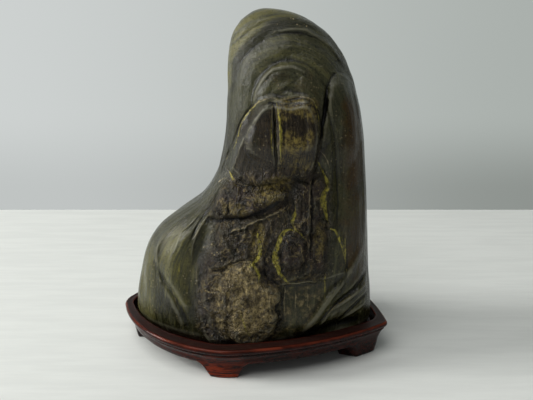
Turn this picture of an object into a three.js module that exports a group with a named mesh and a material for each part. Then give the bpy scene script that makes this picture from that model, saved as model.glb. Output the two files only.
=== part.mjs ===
// A scholar's rock standing in the recess of its carved wooden stand.
// Millimetres, +Z up, the front faces -Y. The origin is on the surface that the stand's
// feet rest on, under the middle of the stand.
import * as THREE from 'three';
import { mergeVertices } from 'three/addons/utils/BufferGeometryUtils.js';

// ---- driving dimensions of the stand ----
const RIM_TOP = 19;
const WALL_FOOT = 9;
const RECESS_FLOOR = 11.7;
const LIP_DEPTH = 4.2;
const FOOT_THICKNESS = 10;
const STAND_CENTRE = new THREE.Vector2(-2, -2);
const COLUMN_PITCH = 8;

// Plan outlines, anticlockwise from the left-hand corner. Each row is a corner arc's x, y
// and radius, and the radius of the shallow arc that runs tangent from it to the next.
const OUTER_CORNERS = [
  [-62, 7.5, 13, 72], [-13, -19, 30, 165], [71.8, -16.6, 3.2, 110], [43, 26, 17, 200], [-28, 8.6, 39, 110],
];
const INNER_CORNERS = [
  [-60.8, 7.5, 9.4, 72], [-13, -18, 23.5, 165], [60.3, -9, 9, 120], [47.5, 5, 19, 90], [8, 9, 31.5, 200],
  [-28, 8.6, 31, 110],
];
const BASE_CORNERS = [
  [-61, 7.5, 8.6, 72], [-13, -19, 24.8, 165], [65, -14.8, 4, 110], [42, 25, 13, 200], [-28, 8.6, 34, 110],
];
const CORNER_STEPS = 24;
const SIDE_STEPS = 60;

// The wall below the lip is a hollow moulding: it starts this share of the way in from the
// outer outline to the base outline, and curves the rest of the way by this power of depth.
const WALL_START = 0.25;
const WALL_CURVE = 0.7;

// Bracket feet: where each one's middle is in plan, and its half width along the stand at
// the surface it rests on and at the foot of the wall.
const FEET = [
  { at: [-16, -49], bottom: 8, top: 15.5 },
  { at: [71, -20], bottom: 9, top: 16 },
  { at: [55, 38], bottom: 8, top: 15 },
  { at: [-42, 46], bottom: 8, top: 15 },
  { at: [-74.5, 6], bottom: 8, top: 14.5 },
];

// ---- driving dimensions of the stone ----
const STONE_TOP = 184;
const STONE_BOTTOM = 12;
const STONE_GRID = 20;
const BASE_TURN = THREE.MathUtils.degToRad(150);
const CROWN = 0.25;

// Outline of the stone against height, as [z, value] from the top down: the left and right
// edges in x, the front and back in y, and the middle of each section.
const LEFT_EDGE = [
  [184, 8.5], [182.6, 1.8], [176.5, -6], [170, -9.8], [160, -11.6], [127, -13], [104, -17], [94, -21.7],
  [86, -27.5], [75, -42.5], [68, -51.2], [58, -58.2], [45, -62.8], [18, -67.3], [12, -66],
];
const RIGHT_EDGE = [
  [184, 8.5], [183, 19], [176, 33.6], [169, 41.6], [159, 48.2], [145, 53.8], [130, 57.4], [97, 61.4],
  [50, 64.8], [18, 67.4], [12, 65.5],
];
const FRONT_EDGE = [
  [184, 6], [182, -1], [178, -6], [170, -9.5], [158, -13], [142, -16.5], [120, -20.5], [95, -25.5],
  [70, -30.5], [45, -34.5], [28, -36], [18, -36], [12, -33],
];
const BACK_EDGE = [
  [184, 6], [182.5, 13], [178, 20.5], [168, 26.5], [150, 30.5], [95, 35.5], [40, 38], [20, 37.5], [12, 34.5],
];
const MIDDLE_X = [[184, 8.5], [175, 12], [150, 20], [120, 22], [95, 16], [70, 4], [45, -4], [12, -8]];
const MIDDLE_Y = [[184, 6], [170, 6], [120, 3], [12, 1]];

// How far the right-hand end of a section is set forward of its middle, and the left-hand
// end back, and how square each corner of the section is: 2 is an ellipse, and less is
// nearer to a lozenge.
const SKEW = [[184, 0], [110, 0], [60, 2.5], [12, 4]];
const FRONT_LEFT_POWER = [[184, 2.2], [100, 2.3], [60, 2.1], [30, 1.75], [12, 1.65]];
const FRONT_RIGHT_POWER = [[184, 2.2], [100, 2.4], [50, 2.25], [12, 1.85]];
const BACK_POWER = [[184, 2.2], [100, 2.3], [50, 2.1], [12, 1.78]];

// Lobes that lie one over another on the front: closed outlines in front elevation (x, z),
// how far each stands out, and the width over which its edge rolls down.
const LOBES = [
  {
    outline: [[-9, 104], [-8, 141], [-2, 161], [12, 172.5], [32, 170], [45, 158], [53, 138], [54, 112], [20, 96]],
    rise: 3.2,
    roll: 9,
  },
  {
    outline: [[0, 122], [1.5, 142], [8, 156.5], [19, 160.5], [29, 154.5], [36, 143], [36, 124], [18, 114]],
    rise: 3.4,
    roll: 5,
  },
  {
    outline: [[-13, 104], [-5, 126], [4, 140.5], [13, 144], [28, 143.5], [34.5, 128], [33, 108], [16, 100]],
    rise: 2.8,
    roll: 4.5,
  },
  {
    outline: [[-21, 83], [-12, 97], [4, 104], [32, 104], [34, 94], [16, 88], [-4, 84]],
    rise: 2.2,
    roll: 4,
  },
  {
    outline: [[-17, 56], [-1, 62], [14, 52], [17, 42], [12, 22], [-8, 15], [-19, 32]],
    rise: 2.2,
    roll: 4,
  },
];

// Valleys (negative) and ridges (positive) along lines in front elevation.
const STROKES = [
  { line: [[37.5, 148], [35, 131], [31, 108]], height: -3, width: 3 },
  { line: [[40, 152], [43.5, 130], [44, 92], [43, 66]], height: -2, width: 6 },
  { line: [[-22, 80], [-5, 84], [5, 84.5], [19, 91]], height: -2.6, width: 3.5 },
  { line: [[-18, 80], [-26, 67], [-32, 51], [-32, 29]], height: -2.4, width: 8 },
  { line: [[-32, 78], [-41, 62], [-43, 48], [-40, 32]], height: 2, width: 9 },
  { line: [[54, 54], [41, 38], [30, 23]], height: 1.6, width: 5 },
  { line: [[30, 16], [46, 21], [58, 22]], height: -5, width: 8 },
];

// A section's middle keeps this share of the section's width or depth away from each edge.
const MIDDLE_MARGIN = 0.2;

// ---- curves ----

/** Value of a curve at x, through [x, value] rows in rising x, without overshoot. */
function smoothThrough(rows, x) {
  let i = 0;
  while (i < rows.length - 2 && x > rows[i + 1][0]) i += 1;
  const [x0, y0] = rows[i];
  const [x1, y1] = rows[i + 1];
  const step = x1 - x0;
  const t = (x - x0) / step;
  const m0 = slopeAt(rows, i) * step;
  const m1 = slopeAt(rows, i + 1) * step;
  const t2 = t * t;
  const t3 = t2 * t;
  return (2 * t3 - 3 * t2 + 1) * y0 + (t3 - 2 * t2 + t) * m0 + (3 * t2 - 2 * t3) * y1 + (t3 - t2) * m1;
}

/** Slope at a row: zero at a turning point, or else the harmonic mean of its two sides. */
function slopeAt(rows, i) {
  const chord = (k) => (rows[k + 1][1] - rows[k][1]) / (rows[k + 1][0] - rows[k][0]);
  if (i === 0) return chord(0);
  if (i === rows.length - 1) return chord(i - 1);
  const before = chord(i - 1);
  const after = chord(i);
  if (before * after <= 0) return 0;
  const stepBefore = rows[i][0] - rows[i - 1][0];
  const stepAfter = rows[i + 1][0] - rows[i][0];
  const w1 = 2 * stepAfter + stepBefore;
  const w2 = stepAfter + 2 * stepBefore;
  return (w1 + w2) / (w1 / before + w2 / after);
}

/** Distance from a point to a chain of segments, as [distance, share of its length]. */
function distanceToLine(line, x, z) {
  let best = [Infinity, 0];
  for (let k = 0; k + 1 < line.length; k += 1) {
    const [ax, az] = line[k];
    const dx = line[k + 1][0] - ax;
    const dz = line[k + 1][1] - az;
    const t = THREE.MathUtils.clamp(((x - ax) * dx + (z - az) * dz) / (dx * dx + dz * dz), 0, 1);
    const distance = Math.hypot(x - ax - t * dx, z - az - t * dz);
    if (distance < best[0]) best = [distance, (k + t) / (line.length - 1)];
  }
  return best;
}

/** A closed smooth curve through the points, as a polygon. */
function smoothOutline(points) {
  const curve = new THREE.CatmullRomCurve3(points.map(([x, z]) => new THREE.Vector3(x, 0, z)), true);
  return curve.getPoints(points.length * 6).map((p) => [p.x, p.z]);
}

/** Whether a point is inside a closed polygon. */
function isInside(polygon, x, z) {
  let inside = false;
  for (let i = 0, j = polygon.length - 1; i < polygon.length; j = i, i += 1) {
    const [xi, zi] = polygon[i];
    const [xj, zj] = polygon[j];
    if (zi > z !== zj > z && x < ((xj - xi) * (z - zi)) / (zj - zi) + xi) inside = !inside;
  }
  return inside;
}

// ---- the stone ----

/** Turns [z, value] rows into rows over the square root of the depth below the top. */
function overDepth(rows) {
  return rows.map(([z, value]) => [Math.sqrt((STONE_TOP - z) / (STONE_TOP - STONE_BOTTOM)), value]);
}

const stoneSection = {
  left: overDepth(LEFT_EDGE),
  right: overDepth(RIGHT_EDGE),
  front: overDepth(FRONT_EDGE),
  back: overDepth(BACK_EDGE),
  middleX: overDepth(MIDDLE_X),
  middleY: overDepth(MIDDLE_Y),
  skew: overDepth(SKEW),
  frontLeft: overDepth(FRONT_LEFT_POWER),
  frontRight: overDepth(FRONT_RIGHT_POWER),
  rear: overDepth(BACK_POWER),
};

/** Point of the plain stone body in a direction from its middle. */
function bodyPoint(direction) {
  const tilt = Math.acos(THREE.MathUtils.clamp(direction.z, -1, 1));
  const f = Math.min(tilt / BASE_TURN, 1);
  const depth = ((f * f) / (CROWN + f)) * (1 + CROWN);
  const row = Math.sqrt(depth);
  const inward = Math.min((Math.PI - tilt) / (Math.PI - BASE_TURN), 1);
  const at = (name) => smoothThrough(stoneSection[name], row);
  const [left, right, front, back] = ['left', 'right', 'front', 'back'].map(at);
  const marginX = (right - left) * MIDDLE_MARGIN;
  const marginY = (back - front) * MIDDLE_MARGIN;
  const midX = THREE.MathUtils.clamp(at('middleX'), left + marginX, right - marginX);
  const midY = THREE.MathUtils.clamp(at('middleY'), front + marginY, back - marginY);
  const angle = Math.atan2(direction.y, direction.x);
  const c = Math.cos(angle);
  const s = Math.sin(angle);
  const corner = c > 0 ? 'frontRight' : 'frontLeft';
  const power = at(s > 0 ? 'rear' : corner);
  const reach = (Math.abs(c) ** power + Math.abs(s) ** power) ** (-1 / power) * inward;
  return new THREE.Vector3(
    midX + (c > 0 ? right - midX : midX - left) * c * reach,
    midY + (s > 0 ? back - midY : midY - front) * s * reach - at('skew') * c * reach,
    STONE_TOP - (STONE_TOP - STONE_BOTTOM) * depth,
  );
}

/** How far the front stands out of the plain body at a point of the front elevation. */
function frontRelief(x, z) {
  let out = 0;
  for (const { polygon, rise, roll } of stoneLobes) {
    if (!isInside(polygon, x, z)) continue;
    const depth = Math.min(distanceToLine(polygon, x, z)[0] / roll, 1);
    out += rise * Math.sqrt(1 - (1 - depth) ** 2);
  }
  for (const { line, height, width } of STROKES) {
    const [distance, share] = distanceToLine(line, x, z);
    const fade = Math.sqrt(Math.sin(Math.PI * THREE.MathUtils.clamp(share, 0.04, 0.96)));
    out += height * fade * Math.exp(-((distance / width) ** 2) * 2);
  }
  return out;
}

const stoneLobes = LOBES.map(({ outline, rise, roll }) => {
  const polygon = smoothOutline(outline);
  return { polygon, rise, roll };
});

/** The whole stone: one closed solid. */
function stoneGeometry() {
  const box = new THREE.BoxGeometry(1, 1, 1, STONE_GRID, STONE_GRID, STONE_GRID);
  box.deleteAttribute('normal');
  box.deleteAttribute('uv');
  const geometry = mergeVertices(box);
  const position = geometry.getAttribute('position');
  const point = new THREE.Vector3();
  for (let i = 0; i < position.count; i += 1) {
    point.fromBufferAttribute(position, i);
    point.set(...point.toArray().map((v) => Math.tan((v * Math.PI) / 2))).normalize();
    position.setXYZ(i, ...bodyPoint(point).toArray());
  }
  geometry.computeVertexNormals();
  const normal = geometry.getAttribute('normal');
  for (let i = 0; i < position.count; i += 1) {
    const facing = THREE.MathUtils.smoothstep(-normal.getY(i), 0.05, 0.5);
    const out = facing * frontRelief(position.getX(i), position.getZ(i));
    position.setY(i, position.getY(i) - out);
  }
  geometry.computeVertexNormals();
  return geometry;
}

// ---- the stand ----

/** Centre of the shallow arc that runs tangent round the outside of two corner arcs. */
function sideCentre([ax, ay, ar, radius], [bx, by, br]) {
  const reachA = radius - ar;
  const reachB = radius - br;
  const span = Math.hypot(bx - ax, by - ay);
  const along = (span * span + reachA * reachA - reachB * reachB) / (2 * span);
  const across = Math.sqrt(reachA * reachA - along * along);
  const ux = (bx - ax) / span;
  const uy = (by - ay) / span;
  return [ax + ux * along - uy * across, ay + uy * along + ux * across];
}

/** Points of an arc from one bearing anticlockwise to another. */
function arcPoints(cx, cy, radius, from, to, steps) {
  const turn = THREE.MathUtils.euclideanModulo(to - from, 2 * Math.PI);
  return Array.from({ length: steps }, (_, k) => {
    const bearing = from + (turn * k) / steps;
    return new THREE.Vector2(cx + radius * Math.cos(bearing), cy + radius * Math.sin(bearing));
  });
}

/** A closed plan outline from its corner arcs. */
function planOutline(corners) {
  const centres = corners.map((corner, i) => sideCentre(corner, corners[(i + 1) % corners.length]));
  return corners.flatMap(([cx, cy, radius, sideRadius], i) => {
    const [px, py] = centres[(i + corners.length - 1) % corners.length];
    const [nx, ny] = centres[i];
    const [ex, ey] = corners[(i + 1) % corners.length];
    const leaving = Math.atan2(cy - ny, cx - nx);
    const corner = arcPoints(cx, cy, radius, Math.atan2(cy - py, cx - px), leaving, CORNER_STEPS);
    const side = arcPoints(nx, ny, sideRadius, leaving, Math.atan2(ey - ny, ex - nx), SIDE_STEPS);
    return [...corner, ...side];
  });
}

/** Point where a ray from the middle of the stand at a bearing meets an outline. */
function outlineAt(outline, bearing) {
  const ray = new THREE.Vector2(Math.cos(bearing), Math.sin(bearing));
  for (let k = 0; k < outline.length; k += 1) {
    const a = outline[k].clone().sub(STAND_CENTRE);
    const b = outline[(k + 1) % outline.length].clone().sub(STAND_CENTRE);
    const sideA = ray.cross(a);
    const sideB = ray.cross(b);
    if (sideA <= 0 && sideB > 0 && a.dot(ray) > 0) {
      return a.lerp(b, sideA / (sideA - sideB)).add(STAND_CENTRE);
    }
  }
  throw new Error('the outline does not go round the middle of the stand');
}

/** Distances along a closed outline to each of its points, and its whole length. */
function lengthsAlong(outline) {
  const lengths = [0];
  outline.forEach((point, k) => lengths.push(lengths[k] + point.distanceTo(outline[(k + 1) % outline.length])));
  return lengths;
}

/** Shortest way along a closed line of the given length between two places on it. */
function wayAround(a, b, whole) {
  const way = THREE.MathUtils.euclideanModulo(a - b, whole);
  return Math.min(way, whole - way);
}

/** Height of the wall's lower edge: the surface under a foot, curving up beside it. */
function lowerEdge(place, footPlaces, whole) {
  let low = WALL_FOOT;
  footPlaces.forEach((footPlace, i) => {
    const { bottom, top } = FEET[i];
    const beside = THREE.MathUtils.clamp((wayAround(place, footPlace, whole) - bottom) / (top - bottom), 0, 1);
    low = Math.min(low, WALL_FOOT * Math.sin((beside * Math.PI) / 2));
  });
  return low;
}

/** Places along the stand where its section is taken, closer together beside the feet. */
function columnPlaces(footPlaces, whole) {
  const count = Math.round(whole / COLUMN_PITCH);
  const places = Array.from({ length: count }, (_, k) => (k * whole) / count);
  const isClear = (place) => footPlaces.every((foot, i) => wayAround(place, foot, whole) > FEET[i].top + 1);
  const clear = places.filter(isClear);
  footPlaces.forEach((foot, i) => {
    const { bottom, top } = FEET[i];
    const beside = [0.2, 0.45, 0.7, 1].map((share) => bottom + (top - bottom) * share);
    for (const offset of [0, bottom / 2, bottom, ...beside]) {
      clear.push(foot + offset);
      if (offset > 0) clear.push(foot - offset);
    }
  });
  return clear.map((place) => THREE.MathUtils.euclideanModulo(place, whole)).sort((a, b) => a - b);
}

/** One section of the stand from the recess round to the underside, as points. */
function standSection(outer, inner, base, low) {
  const inward = STAND_CENTRE.clone().sub(outer).normalize();
  const moved = (from, distance, z) => [from.x + inward.x * distance, from.y + inward.y * distance, z];
  const lipFoot = RIM_TOP - LIP_DEPTH;
  const wall = [0.3, 0.45, 0.7, 1].map((share) => {
    const z = THREE.MathUtils.lerp(lipFoot, low, share);
    const set = WALL_START + (1 - WALL_START) * ((lipFoot - z) / lipFoot) ** WALL_CURVE;
    return [THREE.MathUtils.lerp(outer.x, base.x, set), THREE.MathUtils.lerp(outer.y, base.y, set), z];
  });
  return [
    moved(inner, 1.2, RECESS_FLOOR),
    moved(inner, 0, RECESS_FLOOR + 1.2),
    moved(inner, 0, RIM_TOP - 0.5),
    moved(inner, -0.5, RIM_TOP),
    moved(outer, 1.6, RIM_TOP),
    moved(outer, 0.4, RIM_TOP - 0.6),
    moved(outer, 0, RIM_TOP - 1.9),
    moved(outer, 0.4, RIM_TOP - 3.3),
    moved(outer, 1.5, lipFoot),
    ...wall,
    moved(base, FOOT_THICKNESS, low),
    moved(base, FOOT_THICKNESS + 1, WALL_FOOT),
  ];
}

/** The whole stand: one closed solid, swept round the plan. */
function standGeometry() {
  const [outer, inner, base] = [OUTER_CORNERS, INNER_CORNERS, BASE_CORNERS].map(planOutline);
  const lengths = lengthsAlong(outer);
  const whole = lengths[outer.length];
  const footPlaces = FEET.map(({ at }) => {
    const distances = outer.map((point) => Math.hypot(point.x - at[0], point.y - at[1]));
    return lengths[distances.indexOf(Math.min(...distances))];
  });
  const sections = columnPlaces(footPlaces, whole).map((place) => {
    const k = lengths.findIndex((length) => length > place) - 1;
    const share = (place - lengths[k]) / (lengths[k + 1] - lengths[k]);
    const point = outer[k].clone().lerp(outer[(k + 1) % outer.length], share);
    const bearing = Math.atan2(point.y - STAND_CENTRE.y, point.x - STAND_CENTRE.x);
    const low = lowerEdge(place, footPlaces, whole);
    return standSection(point, outlineAt(inner, bearing), outlineAt(base, bearing), low);
  });
  return sweptSolid(sections);
}

/** Joins neighbouring sections, and closes the two ends on the middle of the stand. */
function sweptSolid(sections) {
  const rings = sections[0].length;
  const vertices = sections.flat(2);
  const index = [];
  const floorMiddle = sections.length * rings;
  const undersideMiddle = floorMiddle + 1;
  vertices.push(STAND_CENTRE.x, STAND_CENTRE.y, RECESS_FLOOR, STAND_CENTRE.x, STAND_CENTRE.y, WALL_FOOT);
  sections.forEach((_, column) => {
    const here = column * rings;
    const next = ((column + 1) % sections.length) * rings;
    index.push(floorMiddle, here, next);
    for (let ring = 0; ring + 1 < rings; ring += 1) {
      index.push(here + ring, here + ring + 1, next + ring + 1);
      index.push(here + ring, next + ring + 1, next + ring);
    }
    index.push(undersideMiddle, next + rings - 1, here + rings - 1);
  });
  const geometry = new THREE.BufferGeometry();
  geometry.setAttribute('position', new THREE.Float32BufferAttribute(vertices, 3));
  geometry.setIndex(index);
  geometry.computeVertexNormals();
  return geometry;
}

// ---- the assembly ----

/** A named mesh with its own plain material. */
function piece(name, geometry, color, roughness) {
  const material = new THREE.MeshStandardMaterial({ color, roughness, metalness: 0 });
  const mesh = new THREE.Mesh(geometry, material);
  mesh.name = name;
  return mesh;
}

const scholarsRock = new THREE.Group();
scholarsRock.name = 'scholars_rock';
scholarsRock.add(piece('stand', standGeometry(), 0x431a14, 0.3));
scholarsRock.add(piece('stone', stoneGeometry(), 0x5d5b48, 0.45));

export default scholarsRock;
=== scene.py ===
"""A scholar's rock in the recess of its carved wooden stand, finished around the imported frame."""
import logging
import math
from dataclasses import dataclass, field
from enum import Enum
from typing import Sequence, Union

import bpy
import numpy as np
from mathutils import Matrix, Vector


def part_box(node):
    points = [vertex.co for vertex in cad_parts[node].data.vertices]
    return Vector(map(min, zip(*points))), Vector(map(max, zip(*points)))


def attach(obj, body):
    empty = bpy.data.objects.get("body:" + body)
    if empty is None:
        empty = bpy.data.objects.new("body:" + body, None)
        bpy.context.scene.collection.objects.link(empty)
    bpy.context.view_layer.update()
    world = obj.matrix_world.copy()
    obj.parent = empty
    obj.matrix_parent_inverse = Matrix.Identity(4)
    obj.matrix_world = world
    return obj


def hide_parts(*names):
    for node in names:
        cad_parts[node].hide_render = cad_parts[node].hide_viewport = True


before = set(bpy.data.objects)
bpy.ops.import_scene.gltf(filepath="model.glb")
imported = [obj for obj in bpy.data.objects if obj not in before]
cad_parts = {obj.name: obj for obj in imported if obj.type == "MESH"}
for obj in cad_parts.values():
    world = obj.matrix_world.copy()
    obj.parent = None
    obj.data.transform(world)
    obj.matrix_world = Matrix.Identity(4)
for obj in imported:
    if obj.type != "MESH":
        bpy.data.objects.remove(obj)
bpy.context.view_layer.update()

TINY = 1e-9
Rows = Sequence[Sequence[float]]
Array = np.ndarray
Colour = tuple[float, float, float, float]
Socket = bpy.types.NodeSocket
Value = Union[Socket, float, Sequence[float]]

log = logging.getLogger("scholars_rock")


# ---------------------------------------------------------------- curves, distances and noise


def smooth_through(rows: Rows, x: Array) -> Array:
    """Evaluates a curve that passes through rows without overshoot.

    Args:
        rows: (x, value) pairs in rising x.
        x: where the curve is wanted.

    Returns:
        The value at each x.
    """
    xs, ys = np.asarray(rows, float).T
    step = np.diff(xs)
    chord = np.diff(ys) / step
    slope = np.zeros_like(xs)
    slope[0], slope[-1] = chord[0], chord[-1]
    before, after = chord[:-1], chord[1:]
    turns = before * after <= 0
    weight_before = 2 * step[1:] + step[:-1]
    weight_after = step[1:] + 2 * step[:-1]
    safe_before = np.where(turns, 1, before)
    safe_after = np.where(turns, 1, after)
    harmonic = (weight_before + weight_after) / (weight_before / safe_before + weight_after / safe_after)
    slope[1:-1] = np.where(turns, 0, harmonic)
    i = np.clip(np.searchsorted(xs, x) - 1, 0, len(step) - 1)
    t = (x - xs[i]) / step[i]
    rise = (3 - 2 * t) * t * t
    ease_out = t * (1 - t) ** 2
    ease_in = t * t * (t - 1)
    return ys[i] + rise * (ys[i + 1] - ys[i]) + (ease_out * slope[i] + ease_in * slope[i + 1]) * step[i]


def smoothstep(low: float, high: float, x: Array) -> Array:
    """Rises smoothly from 0 at low to 1 at high."""
    t = np.clip((x - low) / (high - low), 0, 1)
    return t * t * (3 - 2 * t)


def rounded_line(points: Rows, closed: bool, steps: int = 6) -> Array:
    """Draws a smooth line, a Catmull-Rom curve, through the points.

    Args:
        points: rows of coordinates; any further columns are carried along.
        closed: whether the line returns to its start.
        steps: how many pieces each span is cut into.

    Returns:
        The line's points, one row each.
    """
    rows = np.asarray(points, float)
    count = len(rows)
    spans = count if closed else count - 1
    t = np.linspace(0, 1, steps, endpoint=False)[:, None]
    pieces = []
    for k in range(spans):
        ends = [k - 1, k, k + 1, k + 2]
        picked = [e % count for e in ends] if closed else [min(max(e, 0), count - 1) for e in ends]
        p0, p1, p2, p3 = rows[picked]
        bend = (p2 - p0) * t + (2 * p0 - 5 * p1 + 4 * p2 - p3) * t**2 + (3 * p1 - p0 - 3 * p2 + p3) * t**3
        pieces.append(p1 + 0.5 * bend)
    if not closed:
        pieces.append(rows[-1:])
    return np.concatenate(pieces)


def line_distance(line: Array, x: Array, z: Array) -> tuple[Array, Array, Array]:
    """Measures the way from many points to one line.

    Args:
        line: rows of (x, z, ...).
        x: across.
        z: up.

    Returns:
        The distance of each point, its nearest place as a share of the line, and the side
        of the line that it is on, -1 or 1.
    """
    best = np.full(x.shape, np.inf)
    share = np.zeros(x.shape)
    side = np.ones(x.shape)
    spans = len(line) - 1
    for k in range(spans):
        ax, az = line[k, :2]
        dx, dz = line[k + 1, :2] - line[k, :2]
        length = max(dx * dx + dz * dz, TINY)
        t = np.clip(((x - ax) * dx + (z - az) * dz) / length, 0, 1)
        distance = np.hypot(x - ax - t * dx, z - az - t * dz)
        closer = distance < best
        best = np.where(closer, distance, best)
        share = np.where(closer, (k + t) / spans, share)
        side = np.where(closer, np.sign((x - ax) * dz - (z - az) * dx), side)
    return best, share, side


def depth_inside(outline: Array, x: Array, z: Array) -> Array:
    """Measures the way from many points to a closed outline.

    Args:
        outline: rows of (x, z), without the first repeated.
        x: across.
        z: up.

    Returns:
        The distance of each point, positive inside the outline.
    """
    ring = np.vstack([outline, outline[:1]])
    inside = np.zeros(x.shape, bool)
    for (ax, az), (bx, bz) in zip(ring[:-1, :2], ring[1:, :2]):
        if az == bz:
            continue
        crosses = (az > z) != (bz > z)
        inside ^= crosses & (x < (bx - ax) * (z - az) / (bz - az) + ax)
    distance, _, _ = line_distance(ring, x, z)
    return np.where(inside, distance, -distance)


class LatticeNoise:
    """Smooth three-dimensional noise that is the same on every run."""

    SIZE = 256
    LAYER_SHIFT = 17.3
    CREASE_SHIFT = 31.7
    CREASE_STEEPNESS = 2.6

    def __init__(self, seed: int) -> None:
        """Draws the lattice of gradients.

        Args:
            seed: picks the pattern.
        """
        draw = np.random.default_rng(seed)
        self.order = draw.permutation(self.SIZE)
        gradient = draw.normal(size=(self.SIZE, 3))
        self.gradient = gradient / np.linalg.norm(gradient, axis=1, keepdims=True)

    def __call__(self, points: Array) -> Array:
        """Evaluates the noise.

        Args:
            points: rows of three coordinates; the pattern's cells are 1 across.

        Returns:
            A value for each row, about -0.7 to 0.7.
        """
        last = self.SIZE - 1
        cell = np.floor(points).astype(int)
        part = points - cell
        fade = part**3 * (part * (part * 6 - 15) + 10)
        total = np.zeros(len(points))
        for corner in np.ndindex(2, 2, 2):
            at = (cell + corner) & last
            pick = self.order[(self.order[(self.order[at[:, 0]] + at[:, 1]) & last] + at[:, 2]) & last]
            value = np.einsum("ij,ij->i", self.gradient[pick], part - corner)
            weight = np.prod(np.where(np.array(corner) == 1, fade, 1 - fade), axis=1)
            total += value * weight
        return total

    def layered(self, points: Array, octaves: int) -> Array:
        """Adds octaves of the noise, each twice as fine and half as strong."""
        return sum(0.5**k * self(points * 2.0**k + self.LAYER_SHIFT * k) for k in range(octaves))

    def creased(self, points: Array, octaves: int) -> Array:
        """Adds octaves of noise folded at zero, which leaves sharp creases: 0 to about 1."""
        folds = (np.abs(self(points * 2.0**k + self.CREASE_SHIFT * k)) for k in range(octaves))
        return sum(0.5**k * (1 - self.CREASE_STEEPNESS * fold) for k, fold in enumerate(folds))


# ---------------------------------------------------------------- marks on the stone


@dataclass(frozen=True)
class Lobe:
    """A water-worn lobe lying on the stone, seen in elevation.

    Its edge rolls down over roll at its left-hand end and roll_right at its right-hand end, and
    it rises from nothing between the two heights of fade. All are in millimetres. A larger crest
    makes the edge fuller.
    """

    outline: Rows
    rise: float
    roll: float
    roll_right: float
    fade: tuple[float, float] = (-1.0, 0.0)
    crest: float = 2.2

    def height(self, x: Array, z: Array) -> Array:
        """Works out how far the lobe stands out.

        Args:
            x: across, in millimetres.
            z: up, in millimetres.

        Returns:
            Millimetres for each point.
        """
        outline = rounded_line(self.outline, closed=True)
        depth = depth_inside(outline, x, z)
        roll = np.interp(x, [outline[:, 0].min(), outline[:, 0].max()], [self.roll, self.roll_right])
        up = 1 - (1 - np.clip(depth / roll, 0, 1)) ** self.crest
        return self.rise * up * smoothstep(*self.fade, z)


@dataclass(frozen=True)
class Stroke:
    """A valley (negative height) or ridge (positive) along a line in elevation, in millimetres.

    It tapers off at its two ends. A lower sharp makes its middle more pointed.
    """

    TAPER = (0.03, 0.97)

    line: Rows
    height: float
    width: float
    sharp: float = 2.0

    def profile(self, x: Array, z: Array) -> Array:
        """Works out the stroke's height.

        Args:
            x: across, in millimetres.
            z: up, in millimetres.

        Returns:
            Millimetres for each point.
        """
        distance, share, _ = line_distance(rounded_line(self.line, closed=False), x, z)
        fade = np.sqrt(np.sin(np.pi * np.clip(share, *self.TAPER)))
        return self.height * fade * np.exp(-2 * (distance / self.width) ** self.sharp)


@dataclass(frozen=True)
class Vein:
    """A coloured line on the stone: rows of (x, z, half width). Under zero it fades away."""

    line: Rows

    def across(self, x: Array, z: Array) -> Array:
        """Measures the way from the vein.

        Args:
            x: across, in millimetres.
            z: up, in millimetres.

        Returns:
            For each point the signed way across the vein, its half width there, and the distance.
        """
        line = rounded_line(self.line, closed=False)
        distance, share, side = line_distance(line, x, z)
        half = np.interp(share, np.linspace(0, 1, len(line)), line[:, 2])
        return np.stack([distance * side, half, distance], axis=1)


@dataclass(frozen=True)
class Patch:
    """A coloured area on the stone, whose edge is soft wide, and whose strength has a limit."""

    outline: Rows
    soft: float
    limit: float = 2.0

    def depth(self, x: Array, z: Array) -> Array:
        """Gives the depth inside the edge as a share of its softness: -1 is bare, 1 is full."""
        inside = depth_inside(rounded_line(self.outline, closed=True), x, z)
        return np.clip(inside / self.soft, -2.0, self.limit)


def nearest_vein(veins: Sequence[Vein], x: Array, z: Array) -> Array:
    """Finds each point's nearest vein.

    Args:
        veins: the veins to choose from.
        x: across, in millimetres.
        z: up, in millimetres.

    Returns:
        For each point what Vein.across gives for its nearest vein.
    """
    rows = np.stack([vein.across(x, z) for vein in veins])
    nearest = np.argmin(rows[:, :, 2] - rows[:, :, 1], axis=0)
    return rows[nearest, np.arange(len(x))]


def deepest_patch(patches: Sequence[Patch], x: Array, z: Array) -> Array:
    """Gives the greatest depth inside any of the patches."""
    return np.maximum.reduce([patch.depth(x, z) for patch in patches])


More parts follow.
